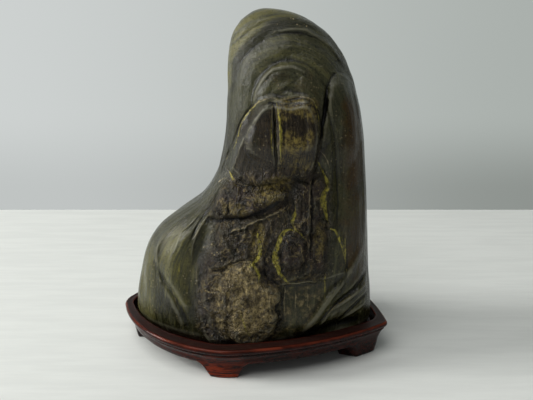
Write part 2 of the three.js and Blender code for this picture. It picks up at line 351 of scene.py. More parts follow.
# The lobes of the front, from the crown down to the foot.
FRONT_LOBES = [
    # the crown layer
    Lobe([(-10, 104), (-9.5, 141), (-5.5, 157), (2.5, 166.5), (13, 172), (24, 172.5), (35, 169),
          (45, 158), (53, 138), (54, 112), (20, 90)],
         rise=3.6, roll=9, roll_right=9, fade=(98, 122)),
    # the second lobe
    Lobe([(-2, 116), (0, 134), (2, 146), (6, 153.5), (11, 158), (16, 160.3), (22, 160.3), (30, 157),
          (36, 150), (40, 141), (40, 122), (18, 106)],
         rise=4.8, roll=3.0, roll_right=12, fade=(106, 122), crest=1.6),
    # the slab
    Lobe([(-12.5, 106), (-10.5, 113), (-5, 125), (-0.5, 134), (3.5, 140.5), (8, 143.4), (14, 143.6),
          (20, 142.8), (26, 144), (30, 142), (33.5, 135), (35.5, 124), (34, 111), (29, 103.5),
          (21, 100), (12, 100), (3, 97.5), (-6, 100)],
         rise=4.9, roll=4.0, roll_right=3, fade=(90, 112), crest=1.45),
    # the ledge under the slab
    Lobe([(-22.5, 80), (-20, 87), (-15, 95), (-10, 99.5), (-4, 97.5), (4, 95.5), (12, 97), (19, 95),
          (17, 90), (6, 84), (-6, 82)],
         rise=3.0, roll=4.6, roll_right=3, fade=(-1, 0), crest=1.45),
    # the right-hand column
    Lobe([(36.5, 143), (38.8, 150), (43, 154.4), (48.5, 151.4), (56, 144), (66, 132), (72, 90),
          (66, 44), (50, 46), (45, 66), (44.5, 96), (42, 122), (38, 136)],
         rise=3.8, roll=6, roll_right=10, fade=(52, 84)),
    # the tan boss
    Lobe([(-14, 54), (-9.6, 58.6), (-3.5, 61), (2, 59.6), (4.4, 55), (7, 51), (11, 48.6), (15.6, 46),
          (15, 40), (12.2, 35.4), (14, 31), (12, 22), (4, 13), (-5, 12), (-11, 18), (-15, 30), (-18, 42)],
         rise=3.0, roll=8, roll_right=1.8),
    # the worn skin beside the boss
    Lobe([(-27, 28), (-27, 46), (-22, 54), (-15, 56), (-12, 46), (-13, 28), (-11, 12), (-23, 12)],
         rise=1.2, roll=3, roll_right=3),
    # the round bump and its neighbour
    Lobe([(16, 73), (18.5, 76.5), (23, 76.4), (27.4, 73), (28.6, 66), (27, 60), (22, 56.5), (17, 58),
          (15, 65)],
         rise=1.9, roll=2.6, roll_right=2.6, fade=(-1, 0), crest=1.6),
    Lobe([(29, 71), (34, 73), (39, 70), (40, 60), (37, 51.5), (27, 53), (28, 62)],
         rise=1.4, roll=1.6, roll_right=5, fade=(44, 56)),
    # the sunk facet beside the boss
    Lobe([(14.6, 26), (15.4, 40), (18, 49), (27, 51.6), (38, 50), (54, 50), (50, 28), (30, 12), (16, 14)],
         rise=-1.6, roll=1.2, roll_right=8, fade=(24, 46)),
    # the block under the slab
    Lobe([(21.5, 100), (27, 101), (32.5, 98), (35, 88), (34, 76), (29, 74), (24, 78), (22, 88)],
         rise=1.3, roll=1.2, roll_right=3),
]

# Each is a line, a height, a width and, for some, a sharpness.
FRONT_STROKES = [
    # the crown and the fissure beside the column
    Stroke([(-11, 158), (-5, 169), (2, 175.4), (11, 178.8), (22, 178.6)], -0.6, 1.4),
    Stroke([(38, 148), (37.3, 142), (36.1, 134), (34.4, 122)], -3.8, 1.8, 1.5),
    Stroke([(34.4, 126), (33, 114), (32, 104)], -1.6, 1.6),
    Stroke([(41.5, 150), (44, 134), (45, 116), (45.5, 92), (46, 72)], -1.8, 4.2),
    Stroke([(58, 140), (60, 120), (61.5, 96), (62.5, 60), (64, 34)], -1.4, 2.2),
    Stroke([(39.6, 155.4), (43.4, 154), (48.6, 150.4), (54, 145)], 0.7, 1.2, 1.6),
    # the slab's upper edge and bevel, and the second lobe's rim
    Stroke([(1, 137.5), (5, 142), (10.4, 144), (14, 143), (18.4, 143.6), (24, 144.4), (29, 143.4),
            (32, 139)], 0.9, 1.1),
    Stroke([(9.5, 141), (3.6, 135), (0.4, 130.5), (-2.2, 125), (-6, 116.5), (-8.8, 107.6), (-10.6, 103)],
           1.5, 1.5, 1.5),
    Stroke([(5, 143.4), (-0.6, 136), (-4.4, 130), (-6.6, 124.6), (-9.4, 117), (-14, 108)], -1.3, 1.1),
    Stroke([(1.6, 140), (2.6, 145.6), (5.4, 151), (9.4, 155.4), (14, 157.4), (20, 157.8), (26, 155.6)],
           1.5, 1.5, 1.6),
    Stroke([(9, 149), (16, 152.5), (25, 151)], -1.3, 5),
    # the ridges that run down to the left shoulder
    Stroke([(-11.5, 118), (-14, 108), (-19, 98), (-25, 89.5), (-33, 82), (-42, 75.5)], 0.9, 1.0, 1.6),
    Stroke([(-12.5, 112), (-15.5, 103), (-20.5, 94), (-27, 85.5), (-35, 78)], -0.9, 1.0, 1.6),
    Stroke([(-11, 104), (-16, 96), (-22, 87.5), (-29, 79), (-37, 71), (-41, 62)], 0.9, 1.1, 1.6),
    Stroke([(-17, 92), (-22.5, 83.5), (-29, 74), (-34, 64)], -0.9, 1.0, 1.6),
    Stroke([(-19, 87), (-24, 79), (-29.5, 69), (-32, 58)], 0.8, 1.0, 1.6),
    # the slab's face and its lower edge
    Stroke([(7, 139.4), (12, 141), (19, 140.2), (25, 141.2), (29, 140.6)], -1.2, 0.9),
    Stroke([(11.3, 141), (11.8, 132), (12.3, 120), (13, 106)], -1.5, 0.9),
    Stroke([(16.4, 138), (16.6, 128), (16, 118)], -0.6, 0.9),
    Stroke([(14, 139), (14.4, 128), (14.6, 116)], 0.6, 0.9),
    Stroke([(26, 137), (27, 126), (25, 114)], -0.8, 1.6),
    Stroke([(18, 150), (20, 147), (20, 145.6)], -1.2, 7),
    Stroke([(-12, 104.5), (-6, 99.5), (2, 98.4), (12, 101), (21, 103), (29, 104)], -0.9, 1.1),
    # the groove under the ledge, and the ledge itself
    Stroke([(-22, 78), (-15, 79.6), (-10.8, 80.8), (-5, 81.6), (0.2, 83.6), (5, 86), (10, 89.6),
            (18, 93)], -2.1, 2.6),
    Stroke([(-12, 74.4), (-9.8, 75), (-4, 77.8), (2.4, 80.4), (9.7, 84), (16.7, 88), (19, 90)], 1.0, 1.0),
    Stroke([(-11.4, 93), (-11.6, 87), (-11.4, 82.5)], -1.0, 0.9),
    Stroke([(-5, 94), (-5.6, 88), (-5, 84)], -0.6, 0.8),
    Stroke([(-10.4, 103), (-13.8, 95), (-16.7, 88.7), (-20.9, 83)], 1.4, 1.7, 1.6),
    # the upper edge of the boss
    Stroke([(-23, 55.6), (-17, 57.3), (-9, 61), (-2, 63)], 1.1, 1.0),
    Stroke([(-23, 53), (-17, 54.6), (-12, 57)], -1.0, 1.1),
    # the hollow and the folds of the left shoulder
    Stroke([(-18, 82), (-26, 67), (-32, 51), (-33, 32)], -3.6, 7.5),
    Stroke([(-30, 82), (-39, 67), (-43.5, 54), (-42, 40), (-37, 26)], 2.8, 7.5),
    Stroke([(-26, 87), (-33, 80), (-40, 74.5), (-47, 68), (-50.5, 61), (-51, 52), (-49.5, 44)], 1.5, 1.5),
    Stroke([(-24, 84), (-30, 77), (-37, 71), (-43, 63), (-45, 52)], -0.8, 1.6),
    Stroke([(-52, 52), (-47.5, 45), (-42, 38.5), (-38, 31), (-35, 22)], -2.2, 2.8),
    Stroke([(-60, 60), (-62, 48), (-62, 34), (-61, 22)], -1.3, 2.6),
    Stroke([(-56, 62), (-58, 46), (-58, 28)], 1.2, 2.6),
    Stroke([(-25, 60), (-27, 46), (-25, 30), (-22, 18)], -1.4, 2.0),
    # the folds at the lower right, the centre crack and the facet
    Stroke([(57, 62), (50, 48), (41, 38), (32, 26), (27, 18)], 2.6, 3.2),
    Stroke([(62, 48), (54, 39.5), (46, 34), (38, 26)], -2.4, 2.2),
    Stroke([(63, 35), (55, 30), (48, 24)], -1.6, 1.6),
    Stroke([(31.8, 104), (31, 96), (30.8, 84), (31, 72), (30, 60)], -1.5, 0.9),
    Stroke([(35, 48.4), (29, 49), (24, 48.2), (16, 49)], 0.9, 0.9),
    Stroke([(62.5, 41), (52, 35.6), (42, 30), (36, 21)], 1.7, 1.3, 1.6),
    Stroke([(63, 30), (54, 26), (47, 20)], 1.2, 1.4, 1.6),
    # the arcs of the crown
    Stroke([(16, 163), (26, 164), (36, 158)], -0.9, 3.5),
    Stroke([(12, 173.4), (20, 174.8), (26, 174.6), (30.4, 172.8), (37.2, 168.4), (42.5, 163.4),
            (46, 158)], 1.5, 1.6, 1.7),
    # wear in the middle and at the foot
    Stroke([(-9, 62), (-13, 70), (-15, 76)], 0.7, 1.4),
    Stroke([(-2, 57), (2, 54), (7, 55)], -1.0, 2.0),
    Stroke([(3, 51), (8, 49), (13, 50)], -0.6, 1.0),
    Stroke([(29.8, 101), (29.6, 92), (29.6, 80), (29.4, 66)], 0.7, 0.8),
    Stroke([(22, 14), (34, 17), (47, 20), (60, 20)], -6.0, 7),
    Stroke([(34, 112), (37, 106), (38.6, 99), (37.4, 92), (39, 82), (38.5, 66), (37.5, 52)], -1.5, 1.6),
    Stroke([(5, 81), (2, 74), (0, 64)], -1.2, 1.5),
    Stroke([(-12, 76), (-6, 72), (-8, 64)], -0.9, 1.4),
    Stroke([(-3, 80), (-4, 72), (-10, 66)], 0.8, 1.3),
    Stroke([(11, 84), (8, 74), (5, 64), (8, 54)], 0.7, 1.6),
    Stroke([(47, 76), (50, 60), (49, 44)], -0.7, 1.4),
    Stroke([(1, 56), (4, 44), (2, 30)], -0.5, 1.6),
]

# The back is calmer: broad lobes and shallow valleys.
BACK_LOBES = [
    Lobe([(-8, 120), (-4, 158), (8, 174), (26, 170), (42, 154), (50, 124), (44, 92), (20, 84), (0, 96)],
         rise=2.6, roll=12, roll_right=12),
    Lobe([(2, 60), (10, 88), (30, 98), (52, 88), (60, 60), (54, 30), (28, 24), (8, 34)],
         rise=2.4, roll=10, roll_right=10),
    Lobe([(-58, 30), (-54, 56), (-38, 72), (-18, 76), (-6, 60), (-10, 36), (-30, 22)],
         rise=2.2, roll=9, roll_right=9),
    Lobe([(12, 118), (20, 140), (34, 142), (42, 126), (36, 108), (20, 104)],
         rise=1.6, roll=6, roll_right=6),
]

BACK_STROKES = [
    Stroke([(-10, 108), (2, 96), (4, 78), (-2, 58), (-4, 36)], -3.0, 7),
    Stroke([(52, 108), (40, 96), (18, 94), (2, 100)], -2.2, 4.5),
    Stroke([(-34, 86), (-22, 82), (-8, 84)], -1.6, 4),
    Stroke([(28, 76), (34, 60), (32, 40), (26, 24)], -1.8, 4),
    Stroke([(44, 80), (50, 60), (48, 38)], -1.2, 3),
    Stroke([(-46, 62), (-40, 48), (-40, 30)], -1.4, 4),
    Stroke([(-26, 66), (-22, 50), (-26, 32)], -1.2, 3.5),
    Stroke([(-4, 134), (8, 128), (10, 112)], -1.2, 3),
    Stroke([(10, 158), (24, 154), (36, 142)], -0.9, 2.6),
    Stroke([(8, 70), (18, 62), (22, 48)], -1.2, 3),
]

# Veins of yellow mineral.
YELLOW_VEINS = [
    Vein([(33, 114, -0.3), (34.3, 110, 0.2), (36.5, 106, 0.4), (37.7, 102.6, 0.6), (39, 98, 1.0),
          (37.6, 94, 1.5), (37, 90.5, 1.7), (37.8, 86, 1.1), (39.2, 81, 0.3)]),
    Vein([(39.6, 76, 0.0), (43.3, 75, 0.4), (45.5, 70.3, 0.4), (47.7, 65, 0.25), (49.7, 54.6, -0.1)]),
    Vein([(48.8, 72, -0.1), (49, 67, 0.25), (49.3, 61, 0.1), (50, 48, -0.3)]),
    Vein([(22.8, 88.5, -0.1), (22.4, 85, 0.5), (20.9, 82, 0.8), (21.4, 79, 0.4), (22.8, 77, 0.3),
          (26.5, 73.5, 0.1)]),
    Vein([(23, 75.5, -0.2), (20, 77, 0.3), (17, 76, 0.9), (15.4, 73.5, 1.0), (14, 70.5, 1.0),
          (12.4, 66, 1.2), (12.5, 61.5, 1.4), (13.2, 57.5, 1.1), (15.5, 53.5, 0.9), (18.2, 50.5, 0.6)]),
    Vein([(4, 77, -0.2), (3.6, 73, 0.4), (4.6, 69.6, 0.8), (5, 65.5, 0.8), (2.9, 61, 0.6),
          (-1, 58.8, 0.1)]),
    Vein([(-2, 58.8, 0.2), (1.5, 59, 0.4), (3.3, 56, 0.4), (4.5, 52, 0.2)]),
    Vein([(5.5, 142.6, 0.0), (4.4, 141.8, 0.1), (-0.5, 135.5, 0.2), (-4.1, 130, 0.15), (-5.8, 125, 0.1),
          (-7.9, 118, 0.0), (-12.5, 110, -0.1), (-17, 103, -0.3)]),
    Vein([(30.5, 142.5, -0.1), (32.2, 137.8, 0.1), (33.3, 132, 0.15), (32.7, 126.5, 0.0),
          (32.5, 116, -0.2)]),
    Vein([(10.5, 141, -0.1), (10.2, 131, 0.0), (10.4, 122, 0.2), (10.8, 114, -0.2)]),
    Vein([(13, 141, 0.1), (14.2, 133, 0.45), (14.8, 127, 0.6), (14.8, 120, 0.3), (14.7, 111, -0.1)]),
    Vein([(37.8, 57, -0.1), (38.3, 52, 0.2), (38.6, 45, 0.25), (38.6, 40, 0.0)]),
    Vein([(-11, 104, 0.2), (-9.6, 101, 0.5), (-7.6, 98.6, 0.2)]),
    Vein([(-36, 62, -0.1), (-38, 54, 0.2), (-40, 46, -0.2)]),
    Vein([(-6, 42, -0.2), (-4, 30, 0.1), (-1, 22, 0.1), (4, 18, -0.1)]),
]

# Thin cream threads and rubbed arrises.
CREAM_LINES = [
    Vein([(30.6, 101, 0.2), (30, 96, 0.25), (29.8, 88, 0.15), (30, 80, 0.1), (29.6, 70, -0.05),
          (29, 63, -0.3)]),
    Vein([(-12, 74.6, -0.1), (-9.8, 75.2, 0.15), (-4, 78, 0.15), (2.4, 80.6, 0.2), (9.7, 84.3, 0.15),
          (16.7, 88, 0.1), (19, 89.5, -0.2)]),
    Vein([(-16, 51, -0.1), (-12.5, 56, 0.15), (-8, 59.6, 0.25), (-3.5, 60.6, 0.15), (0.5, 59.6, -0.1)]),
    Vein([(-4.7, 128.5, -0.2), (-1, 134.5, 0.0), (3.4, 140.5, 0.15), (7, 142.8, 0.2),
          (10.4, 143.6, 0.1), (14, 142.8, 0.0), (18.4, 143.2, 0.2), (24, 144, 0.15), (29.1, 143, 0.2),
          (31.6, 139.5, -0.1)]),
    Vein([(34.5, 48.2, -0.1), (29, 48.8, 0.15), (24, 48, 0.05), (16.4, 48.9, 0.1), (13.6, 47.4, -0.2)]),
    Vein([(-11.6, 104, 0.0), (-8, 100, 0.1), (-4.9, 98.4, 0.05), (1.8, 99.2, 0.0), (9, 101.6, -0.2)]),
    Vein([(-17, 97, 0.1), (-13, 100, 0.0), (-8, 96, -0.1), (-2, 89, -0.3)]),
    Vein([(22, 67, -0.1), (25, 72, 0.1), (30, 74, -0.1)]),
    Vein([(53, 68, -0.4), (44, 66, -0.2), (35, 67, -0.35)]),
    Vein([(14.6, 42, 0.0), (14.4, 39.7, 0.15), (11.6, 35.4, 0.25), (13.2, 31.4, 0.15), (9, 29.8, -0.1)]),
    Vein([(17.6, 46, 0.0), (17.2, 38, 0.2), (17.5, 29, -0.1)]),
    Vein([(22.7, 46, -0.1), (23, 39, 0.15), (22.8, 31, -0.2)]),
    Vein([(29, 47, -0.2), (29.6, 38, 0.05), (28.6, 28, -0.3)]),
    Vein([(-2, 74, -0.2), (-6, 70, 0.0), (-6.6, 66, -0.2)]),
    Vein([(22, 163, -0.3), (30, 152, -0.1), (26, 144.5, -0.3)]),
    Vein([(33, 118, -0.2), (38, 113, 0.15), (40, 106, -0.2)]),
    Vein([(-19, 86, -0.1), (-25, 77, 0.1), (-33, 66, -0.2)]),
    Vein([(62, 41.5, -0.2), (52, 36.2, 0.0), (42, 30.6, 0.1), (37, 23, -0.2)]),
    Vein([(-28, 62, -0.3), (-29, 50, -0.05), (-27, 36, -0.3)]),
    Vein([(-43, 46, -0.3), (-41, 36, 0.0), (-37, 26, -0.3)]),
]

# Cracks, and dark lines of painted shade in the grooves and under the ledges.
DARK_LINES = [
    Vein([(38, 150, 0.0), (37.4, 143, 0.9), (36.2, 134, 1.2), (34.8, 126, 0.5), (33.6, 118, -0.1)]),
    Vein([(5, 139.8, 0.0), (10, 141.6, 0.35), (15, 141, 0.25), (21, 141.6, 0.4), (28, 141.4, 0.1)]),
    Vein([(11.5, 140, 0.2), (11.8, 134, 0.5), (12.2, 126, 0.4), (12.7, 118, 0.35), (13, 107, 0.1)]),
    Vein([(-20.5, 78.2, 0.2), (-15, 79.4, 0.6), (-10.8, 80.6, 0.8), (-5, 81.4, 0.7), (0.2, 83.3, 0.8),
          (5, 86, 1.2), (10, 89, 1.1), (17, 92.4, 0.2)]),
    Vein([(15.4, 42.5, 0.2), (15.2, 39, 0.45), (12.4, 35.2, 0.3), (14.2, 31, 0.35), (9, 28.8, 0.1)]),
    Vein([(31.6, 103, 0.1), (31, 98, 0.4), (30.8, 90, 0.4), (31, 82, 0.35), (30.8, 72, 0.4),
          (30, 62, 0.15)]),
    Vein([(-11.4, 92, 0.1), (-11.6, 87, 0.35), (-11.4, 82.5, 0.3)]),
    Vein([(40, 158, 0.0), (45, 159.4, 0.2), (49, 158, 0.0)]),
    Vein([(-23, 54, 0.0), (-16, 54.6, 0.15), (-11, 56.6, 0.0)]),
    Vein([(41.6, 108, 0.0), (41.2, 98, 0.2), (39.4, 90, 0.2), (40.6, 80, 0.0)]),
    Vein([(15, 46.8, 0.1), (24, 46.6, 0.3), (33, 46.8, 0.1)]),
    Vein([(5, 57.5, 0.1), (7.6, 53, 0.4), (11, 50.4, 0.5), (16, 48, 0.2)]),
    Vein([(8.5, 66, 0.0), (7.4, 61, 0.4), (9.5, 56.5, 0.2)]),
]

# Brown skin on the slab, the ledge, the bump and the block. Each has a softness and a limit.
SLAB_BROWN = [
    Patch([(6, 108), (4, 124), (6, 134), (11, 141), (30, 141), (35, 130), (34, 108), (24, 102),
           (12, 102)], 2.5),
    Patch([(-9, 106), (-6, 122), (-2, 132), (5, 139), (11, 136), (10, 118), (6, 104), (-2, 102)],
          3.0, 0.5),
    Patch([(-18, 82), (-14, 92), (-8, 97), (6, 94), (14, 92), (2, 85)], 2.5, 0.6),
    Patch([(16, 72), (18.5, 75.5), (23, 75.6), (27, 72), (28, 65), (26, 59), (21, 56.5), (16.4, 59),
           (15.4, 66)], 1.4),
    Patch([(-1, 84), (4, 90), (12, 94), (19, 97), (20, 91), (10, 86.5)], 1.6, 1.4),
    Patch([(4.6, 60), (9, 58), (12, 52), (9, 49), (6, 52)], 1.4, 1.0),
    Patch([(22, 104), (34, 104), (36, 88), (33, 66), (28, 62), (24, 78), (20, 92)], 4.0, 0.2),
]

# Ochre glow on the second lobe and the column.
OCHRE = [
    Patch([(4, 143), (6, 150), (10, 155), (16, 156.6), (25, 155), (31, 149), (33, 143), (24, 146),
           (14, 145)], 3.0, -0.7),
    Patch([(47, 140), (53, 138), (57, 122), (57, 102), (51, 97), (48, 112), (47, 128)], 4.0, 0.9),
    Patch([(50, 90), (58, 88), (60, 60), (56, 46), (50, 62)], 5.0, 0.0),
    Patch([(33, 78), (37, 76), (36, 60), (32, 60)], 3.0, 0.1),
]

# Golden crust on the slab's face, under it and in the middle.
GOLD_SKIN = [
    Patch([(13.6, 142), (30, 142), (32, 137), (31, 133), (26, 135), (20, 138), (17, 134), (14, 133)],
          1.8, 0.2),
    Patch([(15, 125), (18, 128.4), (22, 126.8), (25, 125.4), (29.8, 128.6), (30, 122), (26, 118.6),
           (21, 117.4), (17, 118.6), (15.6, 113), (13.8, 109), (13.8, 118)], 1.5, 1.0),
    Patch([(20, 116), (28, 115), (28, 109), (22, 108)], 3.0, -0.2),
    Patch([(3, 92), (4.6, 98), (9, 102.4), (16, 104.6), (19.4, 101), (17, 94), (10, 91)], 2.4, 1.5),
    Patch([(-14, 88), (-9, 89), (-3, 88), (-3, 84.5), (-14, 83.5)], 1.8, 0.2),
    Patch([(1, 75), (4, 79), (7.4, 74), (7.4, 66), (3.4, 60), (0.4, 65)], 1.6, 1.4),
    Patch([(34, 78), (37, 76), (37, 66), (33.4, 64)], 1.8, 0.2),
]

# The tan boss and the paler skin round it.
BOSS_TAN = [
    Patch([(-10.8, 46.8), (-10.6, 53), (-9.4, 57), (-3.5, 60.2), (1.5, 59), (3.3, 54.4), (6.2, 50),
           (9.5, 47.6), (13.9, 45.4), (14.4, 39.7), (11.6, 35.4), (13.2, 31.2), (8.2, 29.6), (5, 24.6),
           (-0.6, 22), (-6, 21), (-10.3, 26.8), (-13.5, 38.9)], 2.0, 1.5),
    Patch([(-10, 24), (-4, 21), (6, 25), (10, 30), (14, 22), (4, 13), (-6, 13)], 3.0, 0.2),
    Patch([(-17, 54), (-10, 58), (-12, 40), (-9, 24), (-15, 21), (-19, 38)], 4.0, 0.1),
    Patch([(15, 46.5), (34, 47), (36, 34), (28, 22), (16, 20)], 3.0, -0.7),
]

# The rough middle of the front, which never took a polish.
RUGGED = [
    Patch([(-21, 84), (-13, 98), (2, 106), (30, 108), (40, 96), (40, 60), (36, 50), (17, 50), (14, 22),
           (4, 12), (-14, 12), (-28, 24), (-26, 54), (-19, 72)], 4.0),
]

# Paler olive on the crown, the shoulders and the lower right.
LIGHT_OLIVE = [
    Patch([(-16, 158), (-10, 173), (2, 183), (14, 187), (26, 184), (26, 180.4), (18, 181),
           (11.5, 179.8), (5, 175.2), (-0.6, 170), (-6.7, 164), (-9.3, 158), (-10.6, 146), (-16, 140)],
          1.0),
    Patch([(-34, 72), (-44, 69), (-48, 58), (-46, 42), (-38, 31), (-33, 40), (-31, 58)], 4.0, 0.8),
    Patch([(40, 56), (47, 60), (56, 50), (62, 40), (52, 33), (42, 30), (38, 40)], 5.0, -0.5),
    Patch([(-54, 60), (-60, 52), (-67, 30), (-66, 12), (-57, 12), (-54, 40)], 5.0, 0.3),
    Patch([(4, 158), (11, 167), (22, 171), (33, 168), (39, 160), (36, 153), (29, 160), (18, 164),
           (9, 158)], 4.0, -0.45),
]

# Dark, fleck-strewn bands.
SPECKLED = [
    Patch([(-10, 144), (-9.4, 158), (-6.7, 164), (-0.6, 170), (5, 175), (12, 179.6), (24, 179),
           (33, 174.5), (26, 175.4), (18.7, 175.2), (10.5, 172.6), (4.1, 168.4), (-0.6, 162.8),
           (-4.7, 156.6), (-8, 146)], 1.2),
    Patch([(-30, 60), (-20, 66), (-14, 56), (-16, 30), (-8, 12), (-26, 14), (-34, 34)], 5.0, 0.6),
]

# The same kinds of patch and vein on the back.
BACK_PATCHES = {
    "light_olive": [
        Patch([(-14, 150), (-8, 172), (8, 184), (26, 182), (36, 170), (20, 166), (4, 152), (-4, 130)],
              4.0, 0.6),
        Patch([(-60, 20), (-58, 50), (-40, 66), (-36, 44), (-44, 20)], 6.0, 0.6),
    ],
    "slab_brown": [Patch([(14, 112), (20, 138), (33, 141), (41, 126), (36, 110), (22, 104)], 4.0, 0.8)],
    "ochre": [Patch([(-8, 128), (-4, 150), (6, 156), (8, 136), (2, 118)], 6.0, 0.3)],
    "gold_skin": [
        Patch([(18, 134), (30, 138), (36, 128), (26, 124)], 3.0, 0.4),
        Patch([(4, 76), (14, 84), (20, 74), (12, 64)], 3.5, 0.3),
    ],
    "boss_tan": [Patch([(26, 34), (30, 56), (44, 66), (54, 52), (50, 32), (38, 24)], 5.0, 0.6)],
    "speckled": [Patch([(-10, 96), (10, 108), (44, 104), (56, 80), (30, 66), (0, 70)], 6.0, 0.6)],
}

BACK_VEINS = {
    "yellow_vein": [
        Vein([(2, 118, -0.2), (5, 104, 0.4), (3, 92, 0.7), (7, 80, 0.4), (6, 66, 0.1), (10, 54, -0.2)]),
        Vein([(-30, 70, -0.2), (-34, 58, 0.3), (-32, 44, 0.2), (-36, 30, -0.2)]),
        Vein([(46, 88, -0.1), (43, 76, 0.4), (45, 64, 0.1)]),
        Vein([(26, 100, 0.1), (32, 96, 0.4), (40, 98, 0.0)]),
    ],
    "cream_line": [
        Vein([(-12, 118, -0.1), (0, 112, 0.1), (14, 114, 0.0), (28, 108, -0.2)]),
        Vein([(14, 60, -0.1), (24, 64, 0.1), (36, 60, -0.1)]),
        Vein([(30, 150, -0.2), (22, 144, 0.0), (18, 134, -0.2)]),
    ],
    "dark_line": [
        Vein([(10, 98, 0.2), (20, 94, 0.5), (34, 96, 0.4), (48, 104, 0.1)]),
        Vein([(-4, 84, 0.1), (-14, 84, 0.4), (-26, 83, 0.1)]),
        Vein([(12, 140, 0.0), (16, 126, 0.3), (15, 110, 0.1)]),
    ],
}

PATCHES = {
    "light_olive": LIGHT_OLIVE,
    "slab_brown": SLAB_BROWN,
    "ochre": OCHRE,
    "gold_skin": GOLD_SKIN,
    "boss_tan": BOSS_TAN,
    "speckled": SPECKLED,
}

VEINS = {"yellow_vein": YELLOW_VEINS, "cream_line": CREAM_LINES, "dark_line": DARK_LINES}


# ---------------------------------------------------------------- mesh making


def make_object(name: str, points: Array, faces: Rows, marks: dict[str, Array]) -> bpy.types.Object:
    """Makes a smooth-shaded mesh object.

    Args:
        name: the piece's name.
        points: vertices in metres.
        faces: rows of vertex numbers.
        marks: named values, one for each vertex, that the finish reads.

    Returns:
        The new object, linked into the scene.
    """
    mesh = bpy.data.meshes.new(name)
    mesh.from_pydata(points.tolist(), [], faces)
    for mark, values in marks.items():
        kind, field_name = ("FLOAT_VECTOR", "vector") if values.ndim == 2 else ("FLOAT", "value")
        layer = mesh.attributes.new(mark, kind, "POINT")
        layer.data.foreach_set(field_name, values.astype(np.float32).ravel())
    mesh.polygons.foreach_set("use_smooth", np.ones(len(mesh.polygons), bool))
    mesh.update()
    piece = bpy.data.objects.new(name, mesh)
    bpy.context.scene.collection.objects.link(piece)
    return piece


def fit_to_box(points: Array, low: Array, high: Array) -> Array:
    """Stretches points, by very little, so that they fill a box exactly."""
    own_low, own_high = points.min(axis=0), points.max(axis=0)
    return low + (points - own_low) * (high - low) / (own_high - own_low)


def node_box(node: str) -> tuple[Array, Array]:
    """Gives a frame node's lowest and highest corners, in metres."""
    low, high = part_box(node)
    return np.array(low, float), np.array(high, float)


# ---------------------------------------------------------------- node trees


